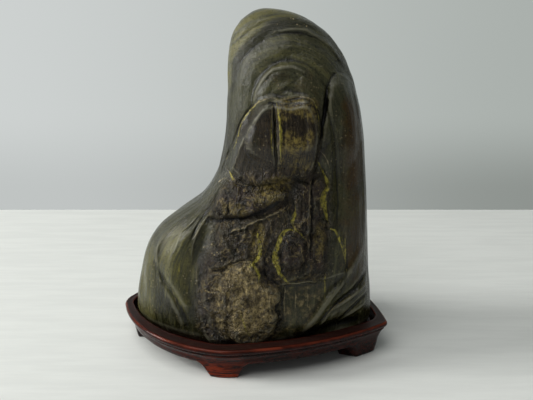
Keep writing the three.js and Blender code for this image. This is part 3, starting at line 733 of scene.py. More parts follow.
class Bench:
    """A material and the shortest way to add nodes to it."""

    CREASE_WIDTH = 0.035
    VEIN_REACH = (3.2, 2.0)

    def __init__(self, name: str) -> None:
        """Starts the material with one Principled shader.

        Args:
            name: the material's name.
        """
        self.material = bpy.data.materials.new(name)
        self.material.use_nodes = True
        self.tree = self.material.node_tree
        self.shader = self.tree.nodes["Principled BSDF"]

    def put(self, socket: Socket, value: Value) -> None:
        """Links a socket to another, or sets its value.

        Args:
            socket: the input.
            value: another node's output, a number or a colour.
        """
        if isinstance(value, Socket):
            self.tree.links.new(value, socket)
        else:
            socket.default_value = value

    def paint(self, **inputs: Value) -> None:
        """Sets inputs of the shader, named with underscores for spaces."""
        for name, value in inputs.items():
            self.put(self.shader.inputs[name.replace("_", " ")], value)

    def node(self, kind: str, inputs: dict[Union[str, int], Value], out: Union[str, int] = 0,
             **settings: Union[str, bool]) -> Socket:
        """Adds a node.

        Args:
            kind: the node's type name without its ShaderNode prefix.
            inputs: socket name or number to a value or another socket.
            out: which output to give back.
            settings: the node's own properties.

        Returns:
            The chosen output socket.
        """
        made = self.tree.nodes.new("ShaderNode" + kind)
        for key, value in settings.items():
            setattr(made, key, value)
        for key, value in inputs.items():
            self.put(made.inputs[key], value)
        return made.outputs[out]

    def place(self) -> Socket:
        """Reads the position in metres."""
        return self.node("TexCoord", {}, "Object")

    def parts(self, vector: Socket) -> Sequence[Socket]:
        """Splits a vector into its X, Y and Z outputs."""
        return self.node("SeparateXYZ", {0: vector}).node.outputs

    def mark(self, name: str, vector: bool = False) -> Socket:
        """Reads a named value from the mesh."""
        return self.node("Attribute", {}, "Vector" if vector else "Fac", attribute_name=name)

    def math(self, operation: str, a: Value, b: Value = 0.0, c: Value = 0.0) -> Socket:
        """Combines numbers."""
        return self.node("Math", {0: a, 1: b, 2: c}, operation=operation)

    def times(self, a: Value, b: Value) -> Socket:
        """Multiplies two numbers."""
        return self.math("MULTIPLY", a, b)

    def noise(self, where: Socket, scale: float, detail: float = 3.0, rough: float = 0.55,
              warp: float = 0.0) -> Socket:
        """Adds a noise texture and gives its 0 to 1 value."""
        inputs = {"Vector": where, "Scale": scale, "Detail": detail, "Roughness": rough, "Distortion": warp}
        return self.node("TexNoise", inputs)

    def streaks(self, grain: Socket, squash: float, scale: float, detail: float, rough: float,
                warp: float = 0.0) -> Socket:
        """Adds a noise that is drawn out along the grain, by 1 / squash."""
        return self.noise(self.scaled(grain, 1.0, 1.0, squash), scale, detail, rough, warp)

    def creases(self, where: Socket, scale: float, warp: float) -> Socket:
        """Adds a noise whose middle crossings make a net of thin creases: 1 on a crease, 0 off it."""
        bent = self.noise(where, scale, warp=warp)
        return self.span(self.math("ABSOLUTE", self.math("SUBTRACT", bent, 0.5)), self.CREASE_WIDTH, 0.0)

    def span(self, value: Socket, low: float, high: float, to_low: float = 0.0,
             to_high: float = 1.0) -> Socket:
        """Maps low..high smoothly to to_low..to_high."""
        inputs = {0: value, 1: low, 2: high, 3: to_low, 4: to_high}
        return self.node("MapRange", inputs, interpolation_type="SMOOTHSTEP")

    def shifted(self, value: Socket, ragged: Socket, amount: float) -> Socket:
        """Moves a value up and down by a noise, by half of amount each way."""
        return self.math("MULTIPLY_ADD", ragged, amount, self.math("ADD", value, -0.5 * amount))

    def patch(self, name: str, ragged: Socket, amount: float) -> Socket:
        """Reads a patch, its edge broken up by a noise, as a 0 to 1 share."""
        return self.span(self.shifted(self.mark(name), ragged, amount), -1.0, 1.0)

    def vein(self, name: str, ragged: Socket, amount: float, soft: float) -> Socket:
        """Reads a vein, bent and broken up by a noise.

        Args:
            name: the vein's mark.
            ragged: the noise.
            amount: how far the noise moves it, in millimetres.
            soft: how soft its edges are, in millimetres.

        Returns:
            A 0 to 1 share.
        """
        parts = self.parts(self.mark(name, vector=True))
        bent = self.shifted(parts["X"], ragged, amount)
        width = self.shifted(parts["Y"], ragged, amount)
        over = self.math("SUBTRACT", self.math("ABSOLUTE", bent), width)
        return self.times(self.span(over, soft, -soft), self.span(parts["Z"], *self.VEIN_REACH))

    def blend(self, share: Value, a: Value, b: Value) -> Socket:
        """Mixes two colours.

        Args:
            share: how much of b shows, 0 to 1.
            a: the colour beneath.
            b: the colour on top.

        Returns:
            The mixed colour.
        """
        made = self.node("Mix", {}, 2, data_type="RGBA", clamp_factor=True).node
        for number, value in ((0, share), (6, a), (7, b)):
            self.put(made.inputs[number], value)
        return made.outputs[2]

    def lay(self, base: Value, over: Value, share: Value, strength: Value) -> Socket:
        """Lays a colour over another, where share says and no more than strength."""
        return self.blend(self.times(share, strength), base, over)

    def scaled(self, where: Socket, x: float, y: float, z: float) -> Socket:
        """Stretches a coordinate."""
        return self.node("Mapping", {"Vector": where, "Scale": (x, y, z)})

    def bumps(self, height: Socket, distance: float, strength: float) -> None:
        """Tilts the shader's normal by a height of distance metres."""
        inputs = {"Height": height, "Distance": distance, "Strength": strength}
        self.paint(Normal=self.node("Bump", inputs, "Normal"))


def colour(red: float, green: float, blue: float) -> Colour:
    """Turns a display colour into the linear colour that a shader takes.

    Args:
        red: 0 to 255.
        green: 0 to 255.
        blue: 0 to 255.

    Returns:
        Linear red, green and blue, and full cover.
    """
    channels = [c / 255 for c in (red, green, blue)]
    linear = [c / 12.92 if c <= 0.04045 else ((c + 0.055) / 1.055) ** 2.4 for c in channels]
    return (*linear, 1.0)


# ---------------------------------------------------------------- the stone


@dataclass(frozen=True)
class StoneFields:
    """What the layers of the stone's finish share.

    place is the position in metres. grain runs along the flow of the stone, in millimetres.
    The others go from 0 to 1: how rugged the skin is, a middling noise that breaks up edges,
    pale threads and dark cracks.
    """

    place: Socket
    grain: Socket
    rugged: Socket
    ragged: Socket
    threads: Socket
    cracks: Socket


@dataclass(frozen=True)
class StoneFinish:
    """The stone's surface: dark olive with brown, ochre and yellow, polished and rough by turns.

    The scales are of noises, in cells to the metre. hollow_shade and ridge_highlight are the
    most of the painted shade in the hollows and of the painted highlight on the ridges that may show.
    """

    olive_dark: Colour = colour(26, 26, 12)
    olive: Colour = colour(49, 48, 24)
    olive_light: Colour = colour(98, 94, 53)
    grey_green: Colour = colour(66, 67, 49)
    brown: Colour = colour(47, 39, 27)
    brown_dark: Colour = colour(17, 13, 8)
    plum: Colour = colour(54, 42, 39)
    ochre: Colour = colour(56, 36, 4)
    gold: Colour = colour(112, 98, 50)
    tan: Colour = colour(150, 133, 90)
    tan_dark: Colour = colour(74, 63, 41)
    yellow: Colour = colour(148, 139, 56)
    yellow_dull: Colour = colour(92, 84, 38)
    cream: Colour = colour(146, 132, 98)
    black: Colour = colour(9, 8, 5)
    # painted_highlight: the pale colour of the highlight painted onto the ridges
    painted_highlight: Colour = colour(118, 115, 96)
    slow_scale: float = 24.0
    crack_scale: float = 60.0
    thread_scale: float = 75.0
    sparse_scale: float = 80.0
    coarse_scale: float = 110.0
    faded_scale: float = 260.0
    dull_scale: float = 300.0
    ragged_scale: float = 330.0
    mottle_scale: float = 480.0
    dot_scale: float = 520.0
    pit_scale: float = 700.0
    grit_scale: float = 950.0
    # hollow_shade and ridge_highlight: how much painted shade the hollows get and how much painted highlight
    # the ridges get
    hollow_shade: float = 0.75
    ridge_highlight: float = 0.45
    polish: tuple[float, float] = (0.15, 0.26)
    dullness: tuple[float, float] = (0.10, 0.32)
    specular: float = 0.28
    bump_height: float = 0.0015
    bump_strength: float = 0.9

    def material(self) -> bpy.types.Material:
        """Builds the node tree.

        Returns:
            The material.
        """
        b = Bench("polished river stone")
        place = b.place()
        at = StoneFields(
            place=place,
            grain=b.mark("grain", vector=True),
            rugged=b.mark("rugged"),
            ragged=b.noise(place, self.ragged_scale, 4, 0.62),
            threads=b.creases(place, self.thread_scale, 1.6),
            cracks=b.creases(b.scaled(place, 1.6, 1.0, 0.6), self.crack_scale, 1.2),
        )
        base = self.ground(b, at)
        # self.wear paints shade into the hollows and a highlight onto the ridges; self.lines paints shade
        # into grooves
        for layer in (self.patches, self.flecks, self.wear, self.lines):
            base = layer(b, at, base)
        b.paint(Base_Color=base, Roughness=self.roughness(b, at), Specular_IOR_Level=self.specular)
        b.bumps(self.relief(b, at), self.bump_height, self.bump_strength)
        return b.material

    def ground(self, b: Bench, at: StoneFields) -> Socket:
        """Makes the olive ground with its slow changes and its flowing streaks.

        Args:
            b: the material's bench.
            at: the shared fields.

        Returns:
            The colour socket.
        """
        slow = b.noise(at.place, self.slow_scale, 4, 0.55, 0.8)
        base = b.blend(b.span(slow, 0.36, 0.64), self.olive_dark, self.olive)
        streak = b.streaks(at.grain, 0.14, 0.30, 6, 0.68, 1.2)
        base = b.lay(base, self.grey_green, b.span(streak, 0.50, 0.64), 0.5)
        fine = b.streaks(at.grain, 0.12, 0.85, 6, 0.7, 0.8)
        arcs = b.noise(b.scaled(b.mark("arc", vector=True), 1.0, 0.14, 0.3), 0.55, 6, 0.68, 0.8)
        crown = b.mark("crown")
        fine = b.math("MULTIPLY_ADD", b.math("SUBTRACT", arcs, fine), crown, fine)
        # grey-green over the crown: partly the stone's own colour, partly a painted sheen
        base = b.lay(base, self.grey_green, crown, b.span(arcs, 0.40, 0.58, 0.4, 0.7))
        base = b.lay(base, self.olive_light, b.span(fine, 0.52, 0.66), 0.35)
        base = b.lay(base, self.olive_dark, b.span(fine, 0.46, 0.34), 0.5)
        base = b.lay(base, self.olive_dark, b.patch("speckled", streak, 1.5), 0.6)
        mixed = b.blend(b.span(fine, 0.36, 0.60), self.grey_green, self.olive_light)
        return b.lay(base, mixed, b.patch("light_olive", streak, 3.0), 0.9)

    def patches(self, b: Bench, at: StoneFields, base: Socket) -> Socket:
        """Lays the brown slab, the ochre, the worn centre and the tan boss over the ground.

        Args:
            b: the material's bench.
            at: the shared fields.
            base: the colour beneath.

        Returns:
            The colour socket.
        """
        coarse = b.noise(at.place, self.coarse_scale, 5, 0.62, 1.0)
        mottle = b.noise(at.place, self.mottle_scale, 6, 0.72)
        strands = b.streaks(at.grain, 0.12, 1.3, 5, 0.68, 1.0)
        brown = b.blend(b.span(strands, 0.36, 0.62), self.brown_dark, self.brown)
        base = b.blend(b.patch("slab_brown", coarse, 3.0), base, brown)
        base = b.lay(base, self.ochre, b.patch("ochre", coarse, 3.0), 0.85)
        worn = b.blend(b.span(coarse, 0.36, 0.60), self.brown_dark, self.plum)
        base = b.lay(base, worn, at.rugged, 0.55)
        base = b.lay(base, self.tan_dark, b.times(at.rugged, b.span(mottle, 0.50, 0.64)), 0.7)
        threads = b.times(at.threads, b.span(coarse, 0.46, 0.60))
        base = b.lay(base, self.tan, threads, b.times(at.rugged, 0.6))
        cracks = b.times(at.cracks, at.rugged)
        base = b.lay(base, self.black, cracks, b.span(coarse, 0.58, 0.44))
        gold = b.blend(b.span(mottle, 0.40, 0.58), self.brown, self.gold)
        base = b.blend(b.patch("gold_skin", strands, 5.0), base, gold)
        boss = b.blend(b.span(mottle, 0.38, 0.62), self.tan_dark, self.tan)
        boss = b.lay(boss, self.brown, b.span(coarse, 0.52, 0.38), 0.6)
        return b.blend(b.patch("boss_tan", at.ragged, 5.0), base, boss)

    def flecks(self, b: Bench, at: StoneFields, base: Socket) -> Socket:
        """Adds pale grains and dark pits.

        Args:
            b: the material's bench.
            at: the shared fields.
            base: the colour beneath.

        Returns:
            The colour socket.
        """
        dots = b.node("TexVoronoi", {"Vector": at.place, "Scale": self.dot_scale}, "Distance")
        sparse = b.span(b.noise(at.place, self.sparse_scale, 4, 0.65), 0.50, 0.62)
        speckled = b.math("ADD", b.patch("speckled", sparse, 1.0), 0.35)
        base = b.lay(base, self.cream, b.times(b.span(dots, 0.26, 0.16), sparse), speckled)
        grit = b.noise(at.place, self.grit_scale, 3, 0.6)
        base = b.lay(base, self.black, b.span(grit, 0.44, 0.33), 0.6)
        return b.lay(base, self.tan_dark, b.span(grit, 0.57, 0.70), 0.5)

    def wear(self, b: Bench, at: StoneFields, base: Socket) -> Socket:
        """Paints shade into the hollows and a highlight onto the ridges.

        Args:
            b: the material's bench.
            at: the shared fields.
            base: the colour beneath.

        Returns:
            The colour socket.
        """
        hollow = b.shifted(b.mark("hollow"), at.ragged, 0.5)
        # painted shade: black laid into the hollows
        base = b.blend(b.span(hollow, 0.05, 0.9, 0.0, self.hollow_shade), base, self.black)
        # painted highlight: a pale colour laid onto the ridges
        return b.blend(b.span(hollow, -0.15, -0.9, 0.0, self.ridge_highlight), base, self.painted_highlight)

    def lines(self, b: Bench, at: StoneFields, base: Socket) -> Socket:
        """Draws the cracks and the painted shade in the grooves, the yellow veins and the cream threads.

        Args:
            b: the material's bench.
            at: the shared fields.
            base: the colour beneath.

        Returns:
            The colour socket.
        """
        # dark_line: black for the cracks, and painted shade in the grooves and under the ledges
        base = b.blend(b.vein("dark_line", at.ragged, 1.6, 0.45), base, self.black)
        patchy = b.span(b.noise(at.place, self.faded_scale, 4, 0.6), 0.36, 0.54, 0.25, 1.0)
        dull = b.span(b.noise(at.place, self.dot_scale, 4, 0.65), 0.38, 0.56)
        body = b.blend(dull, self.yellow_dull, self.yellow)
        base = b.lay(base, body, b.vein("yellow_vein", at.ragged, 1.3, 0.25), patchy)
        cream = b.times(b.vein("cream_line", at.ragged, 1.2, 0.30), patchy)
        return b.lay(base, self.cream, cream, 0.8)

    def roughness(self, b: Bench, at: StoneFields) -> Socket:
        """Works out how polished each part is: the rugged skin is duller.

        Args:
            b: the material's bench.
            at: the shared fields.

        Returns:
            The roughness socket.
        """
        smear = b.streaks(at.grain, 0.2, 0.5, 4, 0.6)
        dull = b.span(b.noise(at.place, self.dull_scale, 4), 0.3, 0.7, *self.dullness)
        return b.math("ADD", b.span(smear, 0.3, 0.7, *self.polish), b.times(at.rugged, dull))

    def relief(self, b: Bench, at: StoneFields) -> Socket:
        """Adds up the finest pitting and wear, too small for the mesh.

        Args:
            b: the material's bench.
            at: the shared fields.

        Returns:
            The height socket, 1 standing for bump_height.
        """
        grit = b.noise(at.place, self.pit_scale, 5, 0.66)
        flow = b.streaks(at.grain, 0.15, 0.9, 5, 0.62, 0.6)
        folds = b.math("ABSOLUTE", b.math("SUBTRACT", at.ragged, 0.5))
        height = b.times(grit, b.math("MULTIPLY_ADD", at.rugged, 0.7, 0.17))
        height = b.math("ADD", height, b.times(flow, 0.34))
        for part, strength in ((folds, 1.8), (at.threads, 0.35), (at.cracks, -0.6)):
            height = b.math("ADD", height, b.times(part, b.times(at.rugged, strength)))
        return height


@dataclass
class Stone:
    """The natural stone: one closed surface, round a plain body that lobes and valleys shape.

    Tables are rows of (height, value) in millimetres from the top down. The powers say how square
    a section's corners are, 2 being an ellipse, and skew slants it. grid is how many faces
    lie along each edge of the cube that the mesh is spread from, and front_bias draws them to the
    front. A size of noise is in millimetres to a cell, a pitch in cells to the millimetre.
    """

    top: float = 184.0
    bottom: float = 12.0
    grid: int = 126
    front_bias: float = 0.45
    base_turn: float = math.radians(150)
    crown: float = 0.25
    middle_margin: float = 0.2
    seed: int = 41
    warp_size: float = 7.0
    warp_polished: float = 0.4
    warp_rugged: float = 0.9
    fold_pitch: tuple[float, float, float] = (0.10, 0.10, 0.016)
    fold_height: float = 0.8
    slow_size: float = 30.0
    slow_height: float = 0.7
    wear_pitch: tuple[float, float, float] = (0.16, 0.16, 0.12)
    wear_height: float = 0.85
    chip_size: float = 2.6
    chip_height: float = 0.03
    rugged_chip_height: float = 0.45
    plain_foot: tuple[float, float] = (14.0, 26.0)
    crown_centre: tuple[float, float] = (17.0, 128.0)
    crown_squash: float = 0.85
    crown_zone: tuple[float, float] = (124.0, 152.0)
    girth: float = 38.0
    left: Rows = (
        (184, 8.5), (182.6, 1.8), (176.5, -6), (170, -9.8), (160, -11.6), (127, -13), (104, -17), (94, -21.7),
        (86, -27.5), (75, -42.5), (68, -51.2), (58, -58.2), (45, -62.8), (18, -67.3), (12, -66),
    )
    right: Rows = (
        (184, 8.5), (183, 19), (176, 33.6), (169, 41.6), (159, 48.2), (145, 53.8), (130, 57.4), (97, 61.4),
        (50, 64.8), (18, 67.4), (12, 65.5),
    )
    front: Rows = (
        (184, 6), (182, -1), (178, -6), (170, -9.5), (158, -13), (142, -16.5), (120, -20.5), (95, -25.5),
        (70, -30.5), (45, -34.5), (28, -36), (18, -36), (12, -33),
    )
    back: Rows = (
        (184, 6), (182.5, 13), (178, 20.5), (168, 26.5), (150, 30.5), (95, 35.5), (40, 38), (20, 37.5),
        (12, 34.5),
    )
    middle_x: Rows = (
        (184, 8.5), (175, 12), (150, 20), (120, 22), (95, 16), (70, 4), (45, -4), (12, -8),
    )
    middle_y: Rows = ((184, 6), (170, 6), (120, 3), (12, 1))
    skew: Rows = ((184, 0), (110, 0), (60, 2.5), (12, 4))
    front_left_power: Rows = ((184, 2.2), (100, 2.3), (60, 2.1), (30, 1.75), (12, 1.65))
    front_right_power: Rows = ((184, 2.2), (100, 2.4), (50, 2.25), (12, 1.85))
    back_power: Rows = ((184, 2.2), (100, 2.3), (50, 2.1), (12, 1.78))
    finish: StoneFinish = field(default_factory=StoneFinish)

    def directions(self) -> tuple[Array, Array]:
        """Spreads directions over a sphere, closer together towards the front.

        Returns:
            Unit directions, and rows of four that make the faces.
        """
        side = np.tan(np.linspace(-math.pi / 4, math.pi / 4, self.grid + 1))
        u, v = np.meshgrid(side, side, indexing="ij")
        one = np.ones_like(u)
        sheets = [(u, v, one), (v, u, -one), (one, u, v), (-one, v, u), (v, one, u), (u, -one, v)]
        points = np.concatenate([np.stack(sheet, -1).reshape(-1, 3) for sheet in sheets])
        index = np.arange((self.grid + 1) ** 2).reshape(self.grid + 1, self.grid + 1)
        corners = [index[:-1, :-1], index[1:, :-1], index[1:, 1:], index[:-1, 1:]]
        quads = np.stack(corners, -1).reshape(-1, 4)
        faces = np.concatenate([quads + k * index.size for k in range(6)])
        _, first, joined = np.unique(np.round(points, 6), axis=0, return_index=True, return_inverse=True)
        points = points[first]
        points /= np.linalg.norm(points, axis=1, keepdims=True)
        points[:, 1] -= self.front_bias
        points /= np.linalg.norm(points, axis=1, keepdims=True)
        return points, joined.reshape(-1)[faces]

    def over_depth(self, rows: Rows, row: Array) -> Array:
        """Looks a table up by the square root of the depth below the top."""
        turned = [(math.sqrt((self.top - z) / (self.top - self.bottom)), value) for z, value in rows]
        return smooth_through(turned, row)

    def between(self, middle: Array, low: Array, high: Array) -> Array:
        """Keeps the middle of each section clear of its two edges."""
        near, far = self.middle_margin, 1 - self.middle_margin
        return np.clip(middle, low * far + high * near, low * near + high * far)

    def body(self, directions: Array) -> tuple[Array, Array]:
        """Places the plain body.

        Args:
            directions: unit directions from the middle.

        Returns:
            Points in millimetres, and each one's bearing round its section.
        """
        x, y, z = directions.T
        tilt = np.arccos(np.clip(z, -1, 1))
        part = np.minimum(tilt / self.base_turn, 1)
        depth = part**2 / (self.crown + part) * (1 + self.crown)
        row = np.sqrt(depth)
        inward = np.minimum((math.pi - tilt) / (math.pi - self.base_turn), 1)
        edges = (self.left, self.right, self.front, self.back)
        left, right, front, back = (self.over_depth(table, row) for table in edges)
        mid_x = self.between(self.over_depth(self.middle_x, row), left, right)
        mid_y = self.between(self.over_depth(self.middle_y, row), front, back)
        bearing = np.arctan2(y, x)
        c, s = np.cos(bearing), np.sin(bearing)
        front_power = np.where(
            c > 0, self.over_depth(self.front_right_power, row), self.over_depth(self.front_left_power, row)
        )
        power = np.where(s > 0, self.over_depth(self.back_power, row), front_power)
        reach = (np.abs(c) ** power + np.abs(s) ** power) ** (-1 / power) * inward
        across = np.where(c > 0, right - mid_x, mid_x - left)
        deep = np.where(s > 0, back - mid_y, mid_y - front)
        px = mid_x + across * c * reach
        py = mid_y + deep * s * reach - self.over_depth(self.skew, row) * c * reach
        return np.stack([px, py, self.top - (self.top - self.bottom) * depth], axis=1), bearing

    @staticmethod
    def normals(points: Array, faces: Array) -> Array:
        """Averages the faces' normals at each vertex.

        Args:
            points: the vertices.
            faces: rows of four vertex numbers.

        Returns:
            A unit normal for each vertex.
        """
        across = points[faces[:, 2]] - points[faces[:, 0]]
        down = points[faces[:, 3]] - points[faces[:, 1]]
        face_normal = np.cross(across, down)
        total = np.zeros_like(points)
        for corner in range(4):
            for axis in range(3):
                total[:, axis] += np.bincount(faces[:, corner], face_normal[:, axis], len(points))
        return total / np.maximum(np.linalg.norm(total, axis=1, keepdims=True), TINY)

    def hollows(self, points: Array, faces: Array, rounds: int) -> Array:
        """Tells how deep each vertex lies among its neighbours.

        Args:
            points: the carved surface in millimetres.
            faces: its faces.
            rounds: how many neighbours away the comparison reaches.

        Returns:
            Millimetres, positive in a hollow and negative on a ridge.
        """
        start, end, count = faces.ravel(), np.roll(faces, -1, axis=1).ravel(), len(points)
        shared = np.bincount(start, minlength=count) + np.bincount(end, minlength=count)
        smooth = points.copy()
        for _ in range(rounds):
            for axis in range(3):
                column = smooth[:, axis].copy()
                total = np.bincount(start, column[end], count) + np.bincount(end, column[start], count)
                smooth[:, axis] = total / shared
        return np.einsum("ij,ij->i", smooth - points, self.normals(points, faces))

    def stains(self, normal: Array, x: Array, z: Array) -> dict[str, Array]:
        """Works out how deep every vertex lies in each kind of patch, and its way from the veins.

        Args:
            normal: the plain body's normals, which tell the front from the back.
            x: across, in millimetres, warped.
            z: up, in millimetres, warped.

        Returns:
            The marks by name.
        """
        marks = {}
        off_front = 3 * smoothstep(-0.05, 0.25, normal[:, 1])
        off_back = 3 * smoothstep(-0.25, 0.05, -normal[:, 1])
        for name, patches in PATCHES.items():
            ahead = deepest_patch(patches, x, z) - off_front
            marks[name] = np.maximum(ahead, deepest_patch(BACK_PATCHES[name], x, z) - off_back)
        behind = (normal[:, 1] > 0)[:, None]
        for name, veins in VEINS.items():
            marks[name] = np.where(behind, nearest_vein(BACK_VEINS[name], x, z), nearest_vein(veins, x, z))
            marks[name][:, 1] -= np.minimum(off_front, off_back)
        return marks

    def swell(self, noise: LatticeNoise, points: Array, grain: Array, rugged: Array) -> Array:
        """Works out the worn relief along the normals, from long folds to small chips.

        Args:
            noise: the stone's noise.
            points: the plain body in millimetres.
            grain: flow coordinates of each point.
            rugged: how rugged each point is, 0 to 1.

        Returns:
            Millimetres for each point.
        """
        folds = noise.layered(grain * self.fold_pitch, 3)
        slow = noise.layered(points / self.slow_size + 9.0, 2)
        wear = noise.creased(points * self.wear_pitch, 3) * rugged
        chips = noise.layered(points / self.chip_size, 3)
        smooth = self.fold_height * folds + self.slow_height * slow + self.chip_height * chips
        rough = self.wear_height * (wear - 0.5) + self.rugged_chip_height * chips
        return (smooth + rugged * rough) * smoothstep(*self.plain_foot, points[:, 2])

    def carve(self, points: Array, faces: Array, grain: Array) -> tuple[Array, dict[str, Array]]:
        """Works the lobes, valleys, ledges and wear into the plain body.

        Args:
            points: the plain body in millimetres.
            faces: its faces.
            grain: flow coordinates of each point.

        Returns:
            The carved points, and the marks that the finish reads.
        """
        noise = LatticeNoise(self.seed)
        normal = self.normals(points, faces)
        x, _, z = points.T
        front = smoothstep(0.05, 0.5, -normal[:, 1])
        back = smoothstep(0.05, 0.5, normal[:, 1])
        warp = self.warp_polished + self.warp_rugged * smoothstep(-1, 1, deepest_patch(RUGGED, x, z))
        wx = x + warp * noise.layered(points / self.warp_size, 3)
        wz = z + warp * noise.layered(points / self.warp_size + 50.0, 3)
        ahead, behind = (
            sum(lobe.height(wx, wz) for lobe in lobes) + sum(stroke.profile(wx, wz) for stroke in strokes)
            for lobes, strokes in ((FRONT_LOBES, FRONT_STROKES), (BACK_LOBES, BACK_STROKES))
        )
        rugged = smoothstep(-1, 1, deepest_patch(RUGGED, wx, wz)) * front
        out = np.zeros_like(points)
        out[:, 1] = back * behind - front * ahead
        out += normal * self.swell(noise, points, grain, rugged)[:, None]
        carved = points + out
        centre_x, centre_z = self.crown_centre
        aside, above = x - centre_x, (z - centre_z) * self.crown_squash
        arc = [np.hypot(aside, above), 18 * np.arctan2(aside, above), 0.3 * points[:, 1]]
        marks = {
            "grain": grain,
            "arc": np.stack(arc, axis=1),
            "crown": smoothstep(*self.crown_zone, z) * (1 - back),
            "rugged": rugged,
            **self.stains(normal, wx, wz),
        }
        # hollow: how deep each vertex lies; the finish turns it into painted shade in hollows and a painted
        # highlight on ridges
        fine, broad = self.hollows(carved, faces, 2), self.hollows(carved, faces, 14)
        hollow = 0.6 * np.clip(fine / 0.12, -1, 1) + 0.5 * np.clip(broad / 0.65, -1, 1)
        marks["hollow"] = hollow * (1 - 0.5 * rugged) * (1 - 0.75 * back)
        return carved, marks

    def build(self) -> bpy.types.Object:
        """Makes the stone, dresses it and puts it in the frame.

        Returns:
            The stone's object.
        """
        directions, faces = self.directions()
        points, bearing = self.body(directions)
        girth = self.girth * np.tanh((self.top - points[:, 2]) / 30)
        grain = np.stack([girth * np.cos(bearing), girth * np.sin(bearing), points[:, 2]], axis=1)
        points, marks = self.carve(points, faces, grain)
        placed = fit_to_box(points, *node_box("stone"))
        piece = make_object("stone_surface", placed, faces.tolist(), marks)
        piece.data.materials.append(self.finish.material())
        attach(piece, "root")
        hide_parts("stone")
        log.info("stone: %d faces", len(faces))
        return piece


# ---------------------------------------------------------------- the stand


@dataclass(frozen=True)
class WoodFinish:
    """Dark red hardwood, waxed, its long grain showing where the light catches it."""

    dark: Colour = colour(20, 6, 4)
    red: Colour = colour(56, 19, 13)
    # orange: the colour of the light painted onto the front foot
    orange: Colour = colour(140, 46, 10)
    # worn: the pale colour of wear and of a painted highlight along the lip's rounded edges
    worn: Colour = colour(132, 60, 38)
    dust: Colour = colour(70, 62, 50)
    top_brown: Colour = colour(34, 19, 15)
    figure_scale: float = 640.0
    pore_scale: float = 1900.0
    dust_scale: float = 600.0
    polish: tuple[float, float] = (0.12, 0.20)
    top_dullness: float = 0.25
    specular: float = 0.13
    bump_height: float = 0.0002
    bump_strength: float = 0.5

    def material(self) -> bpy.types.Material:
        """Builds the node tree.

        Returns:
            The material.
        """
        b = Bench("waxed dark hardwood")
        place = b.place()
        figure = b.noise(b.scaled(place, 0.07, 1.0, 1.0), self.figure_scale, 4, 0.6, 0.6)
        pores = b.noise(b.scaled(place, 0.05, 1.0, 1.0), self.pore_scale, 3, 0.6)
        flat_top = b.mark("flat_top")
        base = b.blend(b.span(figure, 0.38, 0.64), self.dark, self.red)
        # painted light: orange laid where the light falls on the front foot and the lower front wall
        base = b.lay(base, self.orange, b.times(b.mark("glow"), b.span(figure, 0.36, 0.56)), 0.7)
        base = b.lay(base, self.dark, b.span(pores, 0.42, 0.34), 0.7)
        # wear and a painted highlight: the worn colour laid, broken up, along the lip's rounded edges
        painted_highlight = b.span(b.noise(place, 60, 3), 0.36, 0.62, 0.25, 1.0)
        base = b.lay(base, self.worn, b.times(b.mark("edge"), painted_highlight), 0.5)
        base = b.lay(base, self.top_brown, flat_top, 0.75)
        dust = b.span(b.noise(place, self.dust_scale, 5, 0.7), 0.48, 0.72)
        base = b.lay(base, self.dust, b.times(flat_top, dust), 0.2)
        polish = b.span(b.noise(place, 40, 2), 0.3, 0.7, *self.polish)
        rough = b.math("MULTIPLY_ADD", flat_top, self.top_dullness, polish)
        b.paint(Base_Color=base, Roughness=rough, Specular_IOR_Level=self.specular)
        height = b.math("ADD", b.times(figure, 0.5), b.times(pores, 0.5))
        b.bumps(height, self.bump_height, self.bump_strength)
        return b.material


@dataclass(frozen=True)
class Foot:
    """A bracket foot: where its middle is in plan and its two half widths, in millimetres."""

    at: tuple[float, float]
    bottom: float
    top: float


@dataclass(frozen=True)
class Ring:
    """One point of every section: its reach from the middle, its height and its mark."""

    radius: Array
    height: Union[Array, float]
    mark: str = ""


